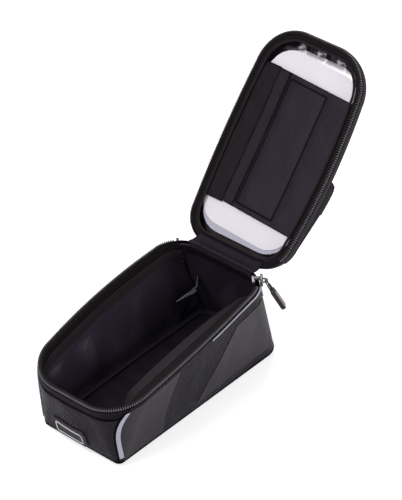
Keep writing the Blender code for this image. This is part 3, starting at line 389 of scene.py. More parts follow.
def finish(name, colour, roughness, patterns=(), vary=0.22, coat=0.0, metallic=0.0, specular=0.5):
    """Procedural surface: patterns on a mottled colour, darker and duller where the seam attribute paints shade
    along seams, edges and other shaded places.
    """
    material = bpy.data.materials.new(name)
    material.use_nodes = True
    tree = material.node_tree
    shader = tree.nodes["Principled BSDF"]
    mottle = noise(tree, MOTTLE_SCALE, 4.0)
    shown = mixed(tree, mottle, *(tuple(c * (1 + way) for c in colour) + (1,) for way in (-vary, vary)))
    # the seam attribute holds painted shade from 0 to 1: it darkens colour and gloss where shade falls
    seam = add(tree, "ShaderNodeAttribute", attribute_name="seam").outputs["Fac"]
    shown = scaled(tree, shown, maths(tree, "MULTIPLY_ADD", seam, -PAINTED_SHADE_STRENGTH, 1.0))
    gloss = maths(tree, "MULTIPLY_ADD", seam, -PAINTED_SHADE_STRENGTH * specular, specular)
    dull = maths(tree, "MULTIPLY_ADD", mottle, 2 * MOTTLE_DULL, roughness - MOTTLE_DULL)
    dull = maths(tree, "MULTIPLY_ADD", seam, SEAM_DULL, dull)
    normal = None
    for pattern, depth, lighten in patterns:
        height = pattern(tree)
        values = {"Height": height, "Strength": 1.0, "Distance": depth * MM}
        if normal is not None:
            values["Normal"] = normal
        normal = add(tree, "ShaderNodeBump", values).outputs["Normal"]
        if lighten:
            gain = maths(tree, "MULTIPLY_ADD", height, lighten, 1 - lighten / 2)
            shown = scaled(tree, shown, gain)
            gloss = maths(tree, "MULTIPLY", gloss, gain)
            dull = maths(tree, "MULTIPLY_ADD", height, -lighten * 0.25, dull)
    if normal is not None:
        tree.links.new(normal, shader.inputs["Normal"])
    for key, source in (("Base Color", shown), ("Roughness", dull), ("Specular IOR Level", gloss)):
        tree.links.new(source, shader.inputs[key])
    for key, value in (("Metallic", metallic), ("Specular Tint", GLOSS_TINT), ("Coat Weight", coat),
                       ("Coat Roughness", COAT_ROUGHNESS)):
        shader.inputs[key].default_value = value
    return material


def clear_finish():
    """Clear film that shows its gloss where nothing white lies behind it, past the card's end."""
    material = finish("clear_film", CLEAR, 0.24, vary=0.02, specular=1.0, coat=1.0)
    tree = material.node_tree
    shader = tree.nodes["Principled BSDF"]
    parts = add(tree, "ShaderNodeSeparateXYZ", {0: flat_map(tree)})
    bare = ramp(tree, parts.outputs[0], CARD_END, CARD_END + 5.0)
    tree.links.new(maths(tree, "MULTIPLY_ADD", bare, 0.55, 0.03), shader.inputs["Alpha"])
    source = shader.inputs["Base Color"].links[0].from_socket
    dimmed = scaled(tree, source, maths(tree, "MULTIPLY_ADD", bare, -0.95, 1.0))
    tree.links.new(dimmed, shader.inputs["Base Color"])
    return material


# Body wall as a function of the span parameter u and the height parameter h
def three_point(t, first, middle, last):
    return first * (1 - t) * (1 - 2 * t) + 4 * middle * t * (1 - t) + last * t * (2 * t - 1)


def half_width(x):
    return three_point((x - RIM_X_BADGE) / (RIM_X_HINGE - RIM_X_BADGE), *RIM_HALF)


def rim_height(x):
    return LIFT + three_point((x - RIM_X_BADGE) / (RIM_X_HINGE - RIM_X_BADGE), *RIM_Z)


def base_half_width(x):
    t = x / BASE_LENGTH + 0.5
    return (BASE_WIDTH_BADGE * (1 - t) + BASE_WIDTH_HINGE * t) / 2


def rounded_outline(u, low, high, half, radius_low, radius_high):
    """Plan outline in eight spans: right side, badge end, left side and hinge end, each with a corner after."""
    mirror = -1.0
    if 2.5 < u <= 6.5:
        mirror = 1.0
        u = (MIRROR - u) % SPANS
    reach_low = half(low + radius_low) - radius_low
    reach_high = half(high - radius_high) - radius_high
    if u < 1:
        x = high - radius_high + (low + radius_low - high + radius_high) * u
        y = half(x)
    elif u < 2:
        turn = (u - 1) * math.pi / 2
        x = low + radius_low - radius_low * math.sin(turn)
        y = reach_low + radius_low * math.cos(turn)
    elif u < 3:
        x = low
        y = reach_low * (5 - 2 * u)
    elif u > 7:
        turn = (8 - u) * math.pi / 2
        x = high - radius_high + radius_high * math.sin(turn)
        y = reach_high + radius_high * math.cos(turn)
    else:
        x = high
        y = reach_high * (2 * u - 13)
    return x, mirror * y


STATIONS = np.linspace(0, SPANS, 6401)
BASE = np.array([rounded_outline(u % SPANS, -BASE_LENGTH / 2, BASE_LENGTH / 2, base_half_width,
                                 BASE_RADIUS_BADGE, BASE_RADIUS_HINGE) for u in STATIONS])
RIM = np.array([rounded_outline(u % SPANS, RIM_X_BADGE, RIM_X_HINGE, half_width, RIM_RADIUS_BADGE,
                                RIM_RADIUS_HINGE) for u in STATIONS])


def plan(table, u):
    u = np.mod(u, SPANS)
    return np.stack([np.interp(u, STATIONS, table[:, 0]), np.interp(u, STATIONS, table[:, 1])], -1)


def unit(vectors):
    return vectors / np.linalg.norm(vectors, axis=-1, keepdims=True)


def spread(*values):
    """Float arrays of one shape."""
    return np.broadcast_arrays(*(np.asarray(value, float) for value in values))


def bare_wall(u, h):
    u, h = spread(u, h)
    low = plan(BASE, u)
    high = plan(RIM, u)
    flat = low * (1 - h[..., None]) + high * h[..., None]
    z = LIFT + h * (rim_height(high[..., 0]) - LIFT)
    return np.concatenate([flat, z[..., None]], -1)


def wall_normal(u, h):
    along = bare_wall(u + NUDGE, h) - bare_wall(u - NUDGE, h)
    up = bare_wall(u, h + NUDGE) - bare_wall(u, h - NUDGE)
    return unit(np.cross(up, along))


def bulge(u, h):
    span = np.floor(np.mod(u, SPANS)) % 2
    full = PANEL_BULGE * np.sin(math.pi * np.mod(u, 1.0)) ** 2 * np.sin(math.pi * np.clip(h, 0, 1))
    return np.where(span > 0, 0.0, full)


def wall(u, h, out=0.0):
    u, h = spread(u, h)
    return bare_wall(u, h) + wall_normal(u, h) * (out + bulge(u, h))[..., None]


def wall_speed(u, h):
    return np.linalg.norm(bare_wall(u + NUDGE, h) - bare_wall(u - NUDGE, h), axis=-1) / (2 * NUDGE)


def beside(u, h, distance):
    step = 0.0
    for _ in range(3):
        step = distance / wall_speed(u + step / 2, h)
    return u + step


def drop(u, distance):
    return 1 - distance / np.linalg.norm(bare_wall(u, 1.0) - bare_wall(u, 0.0), axis=-1)


def rise(u, distance):
    return distance / (rim_height(plan(RIM, u)[..., 0]) - LIFT)


def trim_centre(h):
    return TRIM_PEAK_U - TRIM_CURVE * (h - TRIM_PEAK_H) ** 2


def badge_seam(h, distance):
    return beside(trim_centre(h), h, TRIM_WIDTH / 2 + 2 * GAP + distance)


def hinge_seam(h, distance):
    return beside(HINGE_CORNER + 0 * h, h, distance)


CHAIN_START = float(beside(np.array(SLIDER_U), 1.0, 5.6)) - SPANS


# Lid positions
LID_TILT = math.atan2(RIM_Z[2] - RIM_Z[0], RIM_X_HINGE - RIM_X_BADGE)
LID_NORMAL = np.array([-math.sin(LID_TILT), 0.0, math.cos(LID_TILT)])
HINGE = np.array([RIM_X_HINGE + HINGE_OUT, 0.0, LIFT + RIM_Z[2]])


def opened(points):
    x = points[..., 0] - HINGE[0]
    z = points[..., 2] - HINGE[2]
    turned_x = HINGE[0] + x * math.cos(LID_OPEN) + z * math.sin(LID_OPEN)
    turned_z = HINGE[2] - x * math.sin(LID_OPEN) + z * math.cos(LID_OPEN)
    return np.stack([turned_x, points[..., 1], turned_z], -1)


def outward(u):
    along = unit(plan(RIM, u + NUDGE) - plan(RIM, u - NUDGE))
    return np.stack([-along[..., 1], along[..., 0]], -1)


def on_rim(u, inset, up):
    u, inset, up = spread(u, inset, up)
    flat = plan(RIM, u) - outward(u) * inset[..., None]
    points = np.concatenate([flat, rim_height(flat[..., :1])], -1)
    return points + LID_NORMAL * up[..., None]


def on_lid(u, inset, level):
    return opened(on_rim(u, inset, CHAIN_STACK + np.asarray(level, float)))


def in_lid(distance, y, level):
    distance, y, level = spread(distance, y, level)
    x = RIM_X_HINGE - distance * math.cos(LID_TILT)
    points = np.stack([x, y, rim_height(x)], -1) + LID_NORMAL * (CHAIN_STACK + level)[..., None]
    return opened(points)


LID_UP = in_lid(0, 0, 1) - in_lid(0, 0, 0)


# Mesh making
def piece(name, body, look, points, faces, flat=None, nodes=(), sharp=None, seam=None):
    """Object from points in millimetres. flat is the cloth's own map, in millimetres for each point."""
    points = np.asarray(points, float).reshape(-1, 3)
    mesh = bpy.data.meshes.new(name)
    mesh.from_pydata((points * MM).tolist(), [], faces)
    mesh.polygons.foreach_set("use_smooth", [True] * len(mesh.polygons))
    if flat is None:
        flat = np.stack([points[:, 0] + points[:, 1], points[:, 2]], -1)
    layer = mesh.uv_layers.new(name="cloth")
    corners = np.empty(len(mesh.loops), int)
    mesh.loops.foreach_get("vertex_index", corners)
    layer.uv.foreach_set("vector", np.asarray(flat, np.float32).reshape(-1, 2)[corners].ravel())
    # seam holds painted shade for each point: seam grooves, edges, the lining's floor and the coil's tooth legs
    if seam is not None:
        values = mesh.attributes.new("seam", "FLOAT", "POINT").data
        values.foreach_set("value", np.asarray(seam, np.float32).ravel())
    if sharp is not None:
        mesh.set_sharp_from_angle(angle=math.radians(sharp))
    mesh.materials.append(FINISHES[look])
    new = placed_object(name, mesh)
    if body is not None:
        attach(new, body)
    if nodes:
        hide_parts(*nodes)
    return new


def grid_faces(rows, columns, loop, offset=0, flip=False):
    i, j = np.meshgrid(np.arange(rows if loop else rows - 1), np.arange(columns - 1), indexing="ij")
    a = i * columns + j
    b = (i + 1) % rows * columns + j
    quads = np.stack([a, b, b + 1, a + 1], -1).reshape(-1, 4) + offset
    return quads[:, ::-1] if flip else quads


def closed_sheet(outer, inner, loop=False):
    """Points and faces of the thin solid between two matching grids."""
    rows, columns = outer.shape[:2]
    second = rows * columns
    faces = [grid_faces(rows, columns, loop), grid_faces(rows, columns, loop, second, True)]
    for j, way in ((0, 1), (columns - 1, -1)):
        i = np.arange(rows if loop else rows - 1)
        a = i * columns + j
        b = (i + 1) % rows * columns + j
        faces.append(np.stack([a, a + second, b + second, b], -1)[:, ::way])
    if not loop:
        for i, way in ((0, -1), (rows - 1, 1)):
            a = i * columns + np.arange(columns - 1)
            faces.append(np.stack([a, a + second, a + 1 + second, a + 1], -1)[:, ::way])
    points = np.concatenate([outer.reshape(-1, 3), inner.reshape(-1, 3)])
    return points, np.concatenate(faces).tolist()


def cloth_piece(name, body, look, outer, inner, nodes, flat=None, painted_shade=None, loop=False, sharp=None):
    """Thin solid between two matching grids, with one flat map and one painted shade for both faces."""
    points, faces = closed_sheet(outer, inner, loop)
    flat = cloth_map(outer) if flat is None else flat
    seam = None if painted_shade is None else np.concatenate([painted_shade.ravel()] * 2)
    flat = np.concatenate([flat.reshape(-1, 2)] * 2)
    return piece(name, body, look, points, faces, flat, nodes, sharp, seam)


def travel(path):
    """Distance travelled at each point of a path."""
    return np.concatenate([[0.0], np.cumsum(np.linalg.norm(np.diff(path, axis=0), axis=-1))])


def lengths(points, axis):
    """Distance travelled along a grid's rows or columns."""
    steps = np.linalg.norm(np.diff(points, axis=axis), axis=-1)
    travelled = np.cumsum(steps, axis=axis)
    start = np.zeros_like(np.take(travelled, [0], axis=axis))
    return np.concatenate([start, travelled], axis=axis)


def edge_distance(points):
    """Distance to the nearest of a grid's four edges."""
    across = lengths(points, 1)
    along = lengths(points, 0)
    return np.minimum(np.minimum(across, across[:, -1:] - across), np.minimum(along, along[-1:] - along))


def rounded(nearest, radius):
    """How far a rolled edge falls at a distance from it."""
    short = np.clip(radius - nearest, 0, radius)
    return radius - np.sqrt(radius ** 2 - short ** 2)


def cloth_map(points):
    return np.stack([lengths(points, 0), lengths(points, 1)], -1)


def graded(count, length, edge):
    """Shares from 0 to 1, closer together near both ends."""
    fine = np.array([0.0, 0.1, 0.25, 0.5]) * edge / length
    return np.concatenate([fine, np.linspace(edge / length, 1 - edge / length, count), 1 - fine[::-1]])


def wall_grid(start, end, low, high, along, up, edge=1.2):
    """Grid of span and height parameters between edges that lean."""
    t = graded(along, 100.0, edge)[:, None]
    s = graded(up, 50.0, edge)[None, :]
    h = s + 0 * t
    for _ in range(4):
        first = start(h)
        last = end(h)
        u = first + (last - first) * t
        h = low(u) + (high(u) - low(u)) * s
    return u, h


# Cloth relief, from a simulation of the cover and of the lining between their seams
def folds(x, y, seed, length, count=7):
    """Smooth uneven waves over a flat map in millimetres, from -1 to 1."""
    total = 0.0
    for k in range(count):
        turn = seed + k * GOLDEN_ANGLE
        pitch = length * (0.6 + 0.8 * ((k * 0.618 + seed * 0.37) % 1.0))
        phase = TURN * ((k * 0.7548 + seed * 0.569) % 1.0)
        bend = 1.5 * np.sin((x * math.cos(turn + 1.1) + y * math.sin(turn + 1.1)) / (pitch * 2.3) + phase)
        total = total + np.sin(TURN * (x * math.cos(turn) + y * math.sin(turn)) / pitch + phase + bend)
    return total / count * 1.8


def settled(points, faces, held, growth, push, cap):
    """Lets a held cloth swell and crumple, and returns how far each point moved, capped."""
    mesh = bpy.data.meshes.new("trial")
    mesh.from_pydata((points * TRIAL_SCALE).tolist(), [], faces)
    trial = placed_object("trial", mesh)
    group = trial.vertex_groups.new(name="held")
    group.add(np.flatnonzero(held).tolist(), 1.0, "REPLACE")
    cloth = trial.modifiers.new("cloth", "CLOTH")
    for key, value in TRIAL_CLOTH.items():
        setattr(cloth.settings, key, value)
    cloth.settings.shrink_min = -growth
    cloth.settings.uniform_pressure_force = push
    cloth.settings.vertex_group_mass = "held"
    cloth.settings.effector_weights.gravity = 0
    cloth.collision_settings.use_collision = False
    cloth.collision_settings.use_self_collision = False
    cloth.point_cache.frame_start = 1
    cloth.point_cache.frame_end = TRIAL_FRAMES
    scene = bpy.context.scene
    for number in range(1, TRIAL_FRAMES + 1):
        scene.frame_set(number)
        bpy.context.view_layer.update()
    final = trial.evaluated_get(bpy.context.evaluated_depsgraph_get()).data
    moved = np.empty(len(points) * 3)
    final.vertices.foreach_get("co", moved)
    bpy.data.objects.remove(trial)
    bpy.data.meshes.remove(mesh)
    scene.frame_set(1)
    moved = moved.reshape(-1, 3) / TRIAL_SCALE - points
    size = np.linalg.norm(moved, axis=-1, keepdims=True)
    return moved * np.minimum(1.0, cap / np.maximum(size, 1e-6))


RELIEF_U = np.linspace(0, SPANS, 385)
RELIEF_H = np.linspace(0, 1, 41)


def table_value(table, u, h):
    """Bilinear value of a table over the wall's two parameters."""
    u, h = spread(np.mod(u, SPANS), np.clip(h, 0, 1))
    a = u / SPANS * (len(RELIEF_U) - 1)
    b = h * (len(RELIEF_H) - 1)
    i = np.minimum(a.astype(int), len(RELIEF_U) - 2)
    j = np.minimum(b.astype(int), len(RELIEF_H) - 2)
    p = a - i
    q = b - j
    low = table[i, j] * (1 - p) + table[i + 1, j] * p
    high = table[i, j + 1] * (1 - p) + table[i + 1, j + 1] * p
    return low * (1 - q) + high * q


def relief_table(inset, growth, push, cap_out, cap_in, seams, wave, wave_length, count, calm):
    """Offset of a swollen sheet from the wall, held at the rim, the foot and the seams."""
    u, h = np.meshgrid(RELIEF_U[:-1], RELIEF_H, indexing="ij")
    points = wall(u, h, -inset)
    normal = wall_normal(u, h)
    flat = cloth_map(points)
    along = flat[..., 0]
    up = flat[..., 1]
    held = (h < HELD_FOOT) | (h > HELD_RIM)
    fade = np.sin(math.pi * np.clip(h, 0, 1)) ** 0.5
    for seam in seams:
        place = seam(h)
        nearest = np.abs((u - place + SPANS / 2) % SPANS - SPANS / 2) * wall_speed(u, h)
        held |= nearest < HELD_BESIDE
        fade = fade * (1 - np.exp(-(nearest / SEAM_REACH) ** 2))
    if calm:
        nearest = np.min(np.abs(u[..., None] - np.array(calm)), -1) * CALM_SPAN
        fade = fade * (1 - 0.8 * np.exp(-(nearest / CALM_REACH) ** 2))
    start = wave * fade * (0.3 + folds(along, up * 0.55, 1.3, wave_length, count))
    points = points + normal * start[..., None]
    faces = grid_faces(len(u), len(RELIEF_H), True).tolist()
    moved = settled(points.reshape(-1, 3), faces, held.ravel(), growth, push, max(cap_out, cap_in))
    settled_out = np.sum(moved.reshape(points.shape) * normal, -1)
    offset = start + 0.5 * (settled_out - np.median(settled_out))
    offset = np.clip(offset, -cap_in, cap_out)
    return np.concatenate([offset, offset[:1]])


def left(place):
    return lambda h: MIRROR - place(h)


COVER_SEAMS = [lambda h: badge_seam(h, 0), lambda h: hinge_seam(h, 0)]
COVER_SEAMS += [left(seam) for seam in COVER_SEAMS]
COVER = relief_table(0.0, 0.010, 0.35, 0.5, 0.5, COVER_SEAMS, 0.25, 34.0, 7, ())
HINGE_CORNERS = (MIRROR + SPANS - HINGE_CORNER, HINGE_CORNER)
SLACK = relief_table(LINING_INNER, 0.04, -0.3, 0.1, 4.2, [], -2.7, 40.0, 3, (TAG_U,) + HINGE_CORNERS)


def puckers(u, h, seam_distance):
    """Small gathers that a seam's thread pulls into the cloth beside it."""
    along = np.where(np.abs(h - 0.5) > 0.42, u * 60.0, h * 60.0)
    return -0.16 * np.exp(-(seam_distance / 3.2) ** 2) * (1 + np.sin(along * 1.9))


def cover(u, h, out=0.0):
    """Point on the padded cover."""
    return wall(u, h, out + table_value(COVER, u, h))


def cover_piece(name, u, h, back, thickness, edge, look, nodes, sewn=False):
    """Cloth or film cut to the cover's shape with rolled edges."""
    ground = wall(u, h)
    nearest = edge_distance(ground)
    fall = rounded(nearest, edge)
    pucker = puckers(u, h, nearest) if sewn else 0.0
    outer = cover(u, h, back + thickness - fall + pucker)
    inner = cover(u, h, back + np.zeros_like(u))
    # painted shade in the seam grooves along the sewn edges
    painted_shade = np.exp(-(nearest / 0.9) ** 2) if sewn else 0 * nearest
    return cloth_piece(name, "bag", look, outer, inner, nodes, cloth_map(ground), painted_shade)


def placed(side, u):
    return u if side == "right" else MIRROR - u


def foot(u):
    return rise(u, PANEL + GAP)


def height(h):
    return lambda u: h + 0 * u


def panels():
    for side in ("right", "left"):
        ends = (lambda h: hinge_seam(h, GAP / 2) - SPANS, lambda h: badge_seam(h, -GAP / 2))
        u, h = wall_grid(*ends, foot, height(1.0), 150, 60)
        cover_piece("side_cover_" + side, placed(side, u), h, -PANEL, PANEL, PANEL_EDGE, "dotted",
                                ["side_panel_" + side], sewn=True)
    ends = (lambda h: badge_seam(h, GAP / 2), left(lambda h: badge_seam(h, GAP / 2)))
    u, h = wall_grid(*ends, foot, lambda u: drop(u, COLLAR_HEIGHT + GAP), 90, 40)
    cover_piece("badge_end_cover", u, h, -PANEL, PANEL, PANEL_EDGE, "dotted", ["badge_end_panel"],
                            sewn=True)
    u, h = wall_grid(*ends, lambda u: drop(u, COLLAR_HEIGHT), height(1.0), 90, 14)
    cover_piece("collar", u, h, -PANEL, PANEL - COLLAR_THIN, 0.8, "plain", ["collar_band"],
                            sewn=True)
    ends = (lambda h: SPANS + MIRROR - hinge_seam(h, -GAP / 2), lambda h: hinge_seam(h, -GAP / 2))
    u, h = wall_grid(*ends, foot, height(1.0), 90, 60)
    cover_piece("hinge_end_cover", u, h, -PANEL, PANEL, PANEL_EDGE, "plain", ["hinge_end_panel"],
                            sewn=True)


def base():
    """Flat padded base with a rolled edge."""
    u = np.linspace(0, SPANS, 361)[:-1]
    flat = np.stack([plan(BASE, u) * share for share in np.linspace(0.02, 1, 16)], 1)
    fall = rounded(np.linalg.norm(flat - flat[:, -1:], axis=-1), 1.0)
    low = np.concatenate([flat, (LIFT + fall)[..., None]], -1)
    high = np.concatenate([flat, (LIFT + PANEL - fall * 0.4)[..., None]], -1)
    one = cloth_piece("base_cover", "bag", "plain", high, low, ["base_panel"], flat, loop=True)


FILMS = {
    "field": (lambda h: 0.735 - 0.03 * h + 0.05 * np.sin(math.pi * h),
              lambda h: beside(trim_centre(h), h, -TRIM_WIDTH / 2 - GAP), height(0.07), height(0.95)),
    "band": (lambda h: -0.36 + 0.34 * (1 - h) ** 2, lambda h: 0.56 - 0.50 * h + 0.08 * np.sin(math.pi * h),
             height(0.14), height(0.83)),
}


def films():
    """Smooth printed fields: one behind the badge corner, one sweeping up to the hinge corner."""
    for side in ("right", "left"):
        for name, edges in FILMS.items():
            u, h = wall_grid(*edges, 50, 40, 0.4)
            nodes = ["gloss_" + name + "_" + side]
            cover_piece("smooth_" + name + "_" + side, placed(side, u), h, 0.12, 0.22, 0.18, "smooth", nodes)


def trims():
    for side in ("right", "left"):
        h = np.linspace(0.12, 0.92, 60)[None, :]
        across = graded(4, TRIM_WIDTH, 0.8)[:, None] - 0.5
        u = beside(trim_centre(h) + 0 * across, h + 0 * across, across * TRIM_WIDTH)
        cover_piece("reflector_strip_" + side, placed(side, u), h + 0 * across, 0.1, TRIM_THICKNESS, 0.4,
                    "reflective", ["reflector_badge_" + side])
        outer = []
        inner = []
        turn = 26
        tail = 16
        corner = HINGE_CORNER - SPANS
        top = drop(np.array(corner), TIP_DROP)
        low = drop(np.array(corner), TIP_DROP + TIP_WIDTH) - top
        for k in range(turn + tail):
            if k <= turn:
                share = 1 - k / turn
                u = np.array(corner + (TIP_END_U - corner) * share ** 1.2)
                width = TIP_THIN + (TIP_WIDTH - TIP_THIN) * (1 - share) ** 2
                edge_u = beside(u, 1.0, GAP)
                edge = (edge_u, drop(edge_u, TIP_DROP))
                inside_u = beside(u, 1.0, GAP + width * max(0, (k - turn + 4) / 4) ** 2)
                inside = (inside_u, drop(inside_u, TIP_DROP + width))
            else:
                share = (k - turn) / (tail - 1)
                height = top - TIP_TAIL * share
                width = TIP_WIDTH + (TIP_THIN - TIP_WIDTH) * share
                edge = (beside(corner, height, GAP), height)
                inside = (beside(corner, height, GAP + width), height + low * (1 - share))
            line = [(edge[0] * (1 - t) + inside[0] * t, edge[1] * (1 - t) + inside[1] * t)
                    for t in (0, 0.1, 0.3, 0.7, 0.9, 1)]
            fall = (0.45, 0.12, 0, 0, 0.12, 0.45)
            top_out = 0.1 + TRIM_THICKNESS
            outer.append([cover(placed(side, a), b, top_out - f) for (a, b), f in zip(line, fall)])
            inner.append([cover(placed(side, a), b, 0.1) for a, b in line])
        cloth_piece("reflector_tip_" + side, "bag", "reflective", np.array(outer), np.array(inner),
                    ["reflector_hinge_" + side])


def on_badge_end(y, z, out):
    h = z / RIM_Z[0]
    reach = abs(plan(BASE, 2.0)[1]) * (1 - h) + abs(plan(RIM, 2.0)[1]) * h
    return cover(2.0 + (y + reach) / (2 * reach), h, out)


def rounded_rectangle(length, height, radius):
    """Outline as points round four corners, with more of them on the long sides."""
    arcs = []
    for k, (sx, sy) in enumerate(((1, 1), (-1, 1), (-1, -1), (1, -1))):
        angle = math.pi / 2 * (k + np.linspace(0, 1, 9))
        centre = np.array([sx * (length / 2 - radius), sy * (height / 2 - radius)])
        arcs.append(centre + radius * np.stack([np.cos(angle), np.sin(angle)], -1))
    points = []
    for k in range(4):
        cuts = (12, 2)[k % 2]
        share = np.arange(1, cuts)[:, None] / cuts
        points += [arcs[k], arcs[k][-1] * (1 - share) + arcs[(k + 1) % 4][0] * share]
    return np.concatenate(points)


def ring_loft(sections, loop=True):
    """Points and faces through matching closed sections, capped at both ends unless they loop."""
    sections = np.asarray(sections)
    rows, size = sections.shape[:2]
    faces = []
    for i in range(rows if loop else rows - 1):
        a = i * size + np.arange(size)
        b = (i + 1) % rows * size + np.arange(size)
        faces.append(np.stack([a, np.roll(a, -1), np.roll(b, -1), b], -1))
    faces = np.concatenate(faces).tolist()
    if not loop:
        faces.append(list(range(size))[::-1])
        faces.append(list(range((rows - 1) * size, rows * size)))
    return sections.reshape(-1, 3), faces


def badge_rings(length, height, radius, steps):
    """Outlines on the badge end, each at an inset and a height over the cover."""
    rings = []
    for inset, out in steps:
        shape = rounded_rectangle(length - 2 * inset, height - 2 * min(inset, BADGE_HEIGHT / 2 - 0.35),
                                  max(radius - inset, 0.2))
        rings.append(on_badge_end(BADGE_Y + shape[:, 0], BADGE_Z + shape[:, 1], out + 0 * shape[:, 0]))
    return np.array(rings)


def badge():
    """Rubber patch with a raised pale frame round a plain middle."""
    rings = badge_rings(BADGE_LENGTH, BADGE_HEIGHT, BADGE_RADIUS,
                        ((0.0, 0.1), (0.0, 0.9), (0.35, 1.3), (1.2, 1.3), (1.6, 1.15), (8.0, 1.15)))
    points, faces = ring_loft(rings, loop=False)
    piece("badge_plate", "bag", "rubber", points, faces, None, ["badge_patch"], sharp=45)
    rings = badge_rings(FRAME_LENGTH, FRAME_HEIGHT, FRAME_RADIUS,
                        ((0.0, 1.35), (0.1, 1.6), (0.35, 1.75), (0.85, 1.75), (1.1, 1.6), (1.2, 1.35)))
    points, faces = ring_loft(rings.transpose(1, 0, 2))
    piece("badge_frame", "bag", "pale_print", points, faces, None, ["badge_outline"])


# Inside of the body
def lean(u):
    """Share by which the rim tape lies inward instead of down the wall: the near side flops in."""
    near = np.mod(u + SPANS / 2, SPANS) - SPANS / 2 - LEAN_PEAK
    reach = np.where(near > 0, LEAN_FRONT, LEAN_REAR)
    return LEAN_MOST * np.cos(math.pi / 2 * np.minimum(np.abs(near) / reach, 1.0))


def trimmed(points):
    points = points.copy()
    points[..., 2] = np.minimum(points[..., 2], rim_height(points[..., 0]))
    return points


def rim_band(u, distance, depth=0.0):
    """Point on the tape and band inside the rim, at a distance from the rim and a depth below their face."""
    u, distance, depth = spread(u, distance, depth)
    share = lean(u)[..., None]
    away = distance[..., None]
    deep = depth[..., None]
    inset = LINING_INNER + GAP + BAND_BACK
    top = trimmed(wall(u, 1.0, -inset))
    along = bare_wall(u - NUDGE, 1.0) - bare_wall(u + NUDGE, 1.0)
    down = unit(wall(u, drop(u, TAPE_WIDTH), -inset) - top)
    hung = top + down * away - unit(np.cross(along, down)) * deep
    sewn = trimmed(wall(u, drop(u, distance), depth - inset))
    side = np.concatenate([outward(u), np.zeros_like(top[..., :1])], -1)
    way = unit(down * (1 - share) - side * share)
    leant = top + side * share * LEAN_SHIFT + way * away - unit(np.cross(along, way)) * deep
    return leant + (sewn - hung) * (1 - share)


def strip(name, look, place, u, low, high, depth, thickness, nodes, crown=0.0):
    """Flat strap that follows place(u, distance, depth) between two distances."""
    t = graded(9, high - low, 0.5)
    uu, tt = np.meshgrid(u, low + (high - low) * t, indexing="ij")
    nearest = np.minimum(tt - low, high - tt)
    rise_up = crown * np.sin(math.pi * (tt - low) / (high - low))
    rise_up -= rounded(nearest, min(0.3, thickness * 0.6))
    outer = place(uu, tt, depth - rise_up)
    inner = place(uu, tt, depth + thickness + 0 * tt)
    cloth_piece(name, "bag", look, outer, inner, nodes)


def lining():
    """Loose lining: it follows the wall, then rises behind the band that leans inward on the near side."""
    u = np.linspace(0, SPANS, 481)[:-1]
    width = TAPE_WIDTH + BAND_WIDTH
    low = rise(u, PANEL + BOARD + 2 * GAP + LINING)
    turn = drop(u, width)
    shares = np.linspace(0, 1, LINING_ROWS)
    grids = []
    for layer in (1, 0):
        inset = PANEL + LINING_GAP + layer * LINING
        depth = BAND_BACK + GAP + (1 - layer) * LINING
        offset = rim_band(u, width, depth) - wall(u, turn, -inset)
        columns = []
        for share in shares:
            h = low + (turn - low) * share
            away = np.clip((h - LEAN_FOOT) / (turn - LEAN_FOOT), 0, 1) ** LEAN_POWER
            slack = table_value(SLACK, u, h) * (1 - np.clip(away * 1.5, 0, 1))
            slack = slack * np.clip((1 - share) * 5, 0, 1)
            columns.append(wall(u, h, slack - inset) + offset * away[:, None])
        for share in np.linspace(0.9, 0.05, 7):
            columns.append(rim_band(u, width * share, depth))
        ring = []
        for share in np.linspace(0.02, 0.97, FLOOR_ROWS):
            x, y = columns[0][:, 0] * share, columns[0][:, 1] * share
            sag = 0.9 * folds(x, y, 4.2, 24.0) * math.sin(math.pi * share) ** 0.5
            level = LIFT + PANEL + BOARD + 2 * GAP + layer * LINING + np.clip(sag, -0.1, 1.4)
            ring.append(np.stack([x, y, level], -1))
        grids.append(np.stack(ring + columns, 1))
    face = grids[0]
    # painted shade: the floor, the foot of the wall and the middle of the hinge end are darkened where shade
    # falls inside the bag
    painted_lining_shade = np.zeros(face.shape[:2])
    painted_lining_shade[:, :FLOOR_ROWS] = 0.8
    painted_lining_shade[:, FLOOR_ROWS:FLOOR_ROWS + 10] = np.linspace(0.6, 0.0, 10)
    painted_lining_shade = np.maximum(painted_lining_shade, np.exp(-((u - 6.5) / 0.75) ** 2)[:, None] * 0.2)
    one = cloth_piece("lining_cloth", "bag", "nylon", face, grids[1], ["lining"], painted_shade=painted_lining_shade, loop=True)


def tube(name, body, look, path, radius, nodes, up, ribs, tall=1.0):
    """Round or oval piping along a path, with its stitches' dents at a pitch."""
    ahead = unit(np.gradient(path, axis=0))
    side = unit(np.cross(ahead, np.broadcast_to(np.asarray(up, float), path.shape)))
    top = np.cross(side, ahead)
    travelled = travel(path)
    size = radius * (1 + 0.05 * np.sin(travelled * TURN / ribs))
    angle = np.linspace(0, TURN, 12, endpoint=False)
    sections = path[:, None] + size[:, None, None] * (side[:, None] * np.cos(angle)[None, :, None]
                                                      + top[:, None] * (tall * np.sin(angle))[None, :, None])
    points, faces = ring_loft(sections, loop=False)
    flat = np.stack([np.repeat(travelled, 12), np.tile(angle * radius, len(path))], -1)
    piece(name, body, look, points, faces, flat, nodes)


def prisms(count, rows, sides=6):
    """Faces of many alike closed prisms, each with its own points."""
    ring = np.arange(sides)
    size = rows * sides
    walls = []
    for row in range(rows - 1):
        a = row * sides + ring
        b = np.roll(a, -1)
        walls.append(np.stack([a, b, b + sides, a + sides], -1))
    walls = np.concatenate(walls)
    faces = (walls[None] + np.arange(count)[:, None, None] * size).reshape(-1, 4).tolist()
    for k in range(count):
        faces += [(k * size + ring[::-1]).tolist(), (k * size + size - sides + ring).tolist()]
    return faces


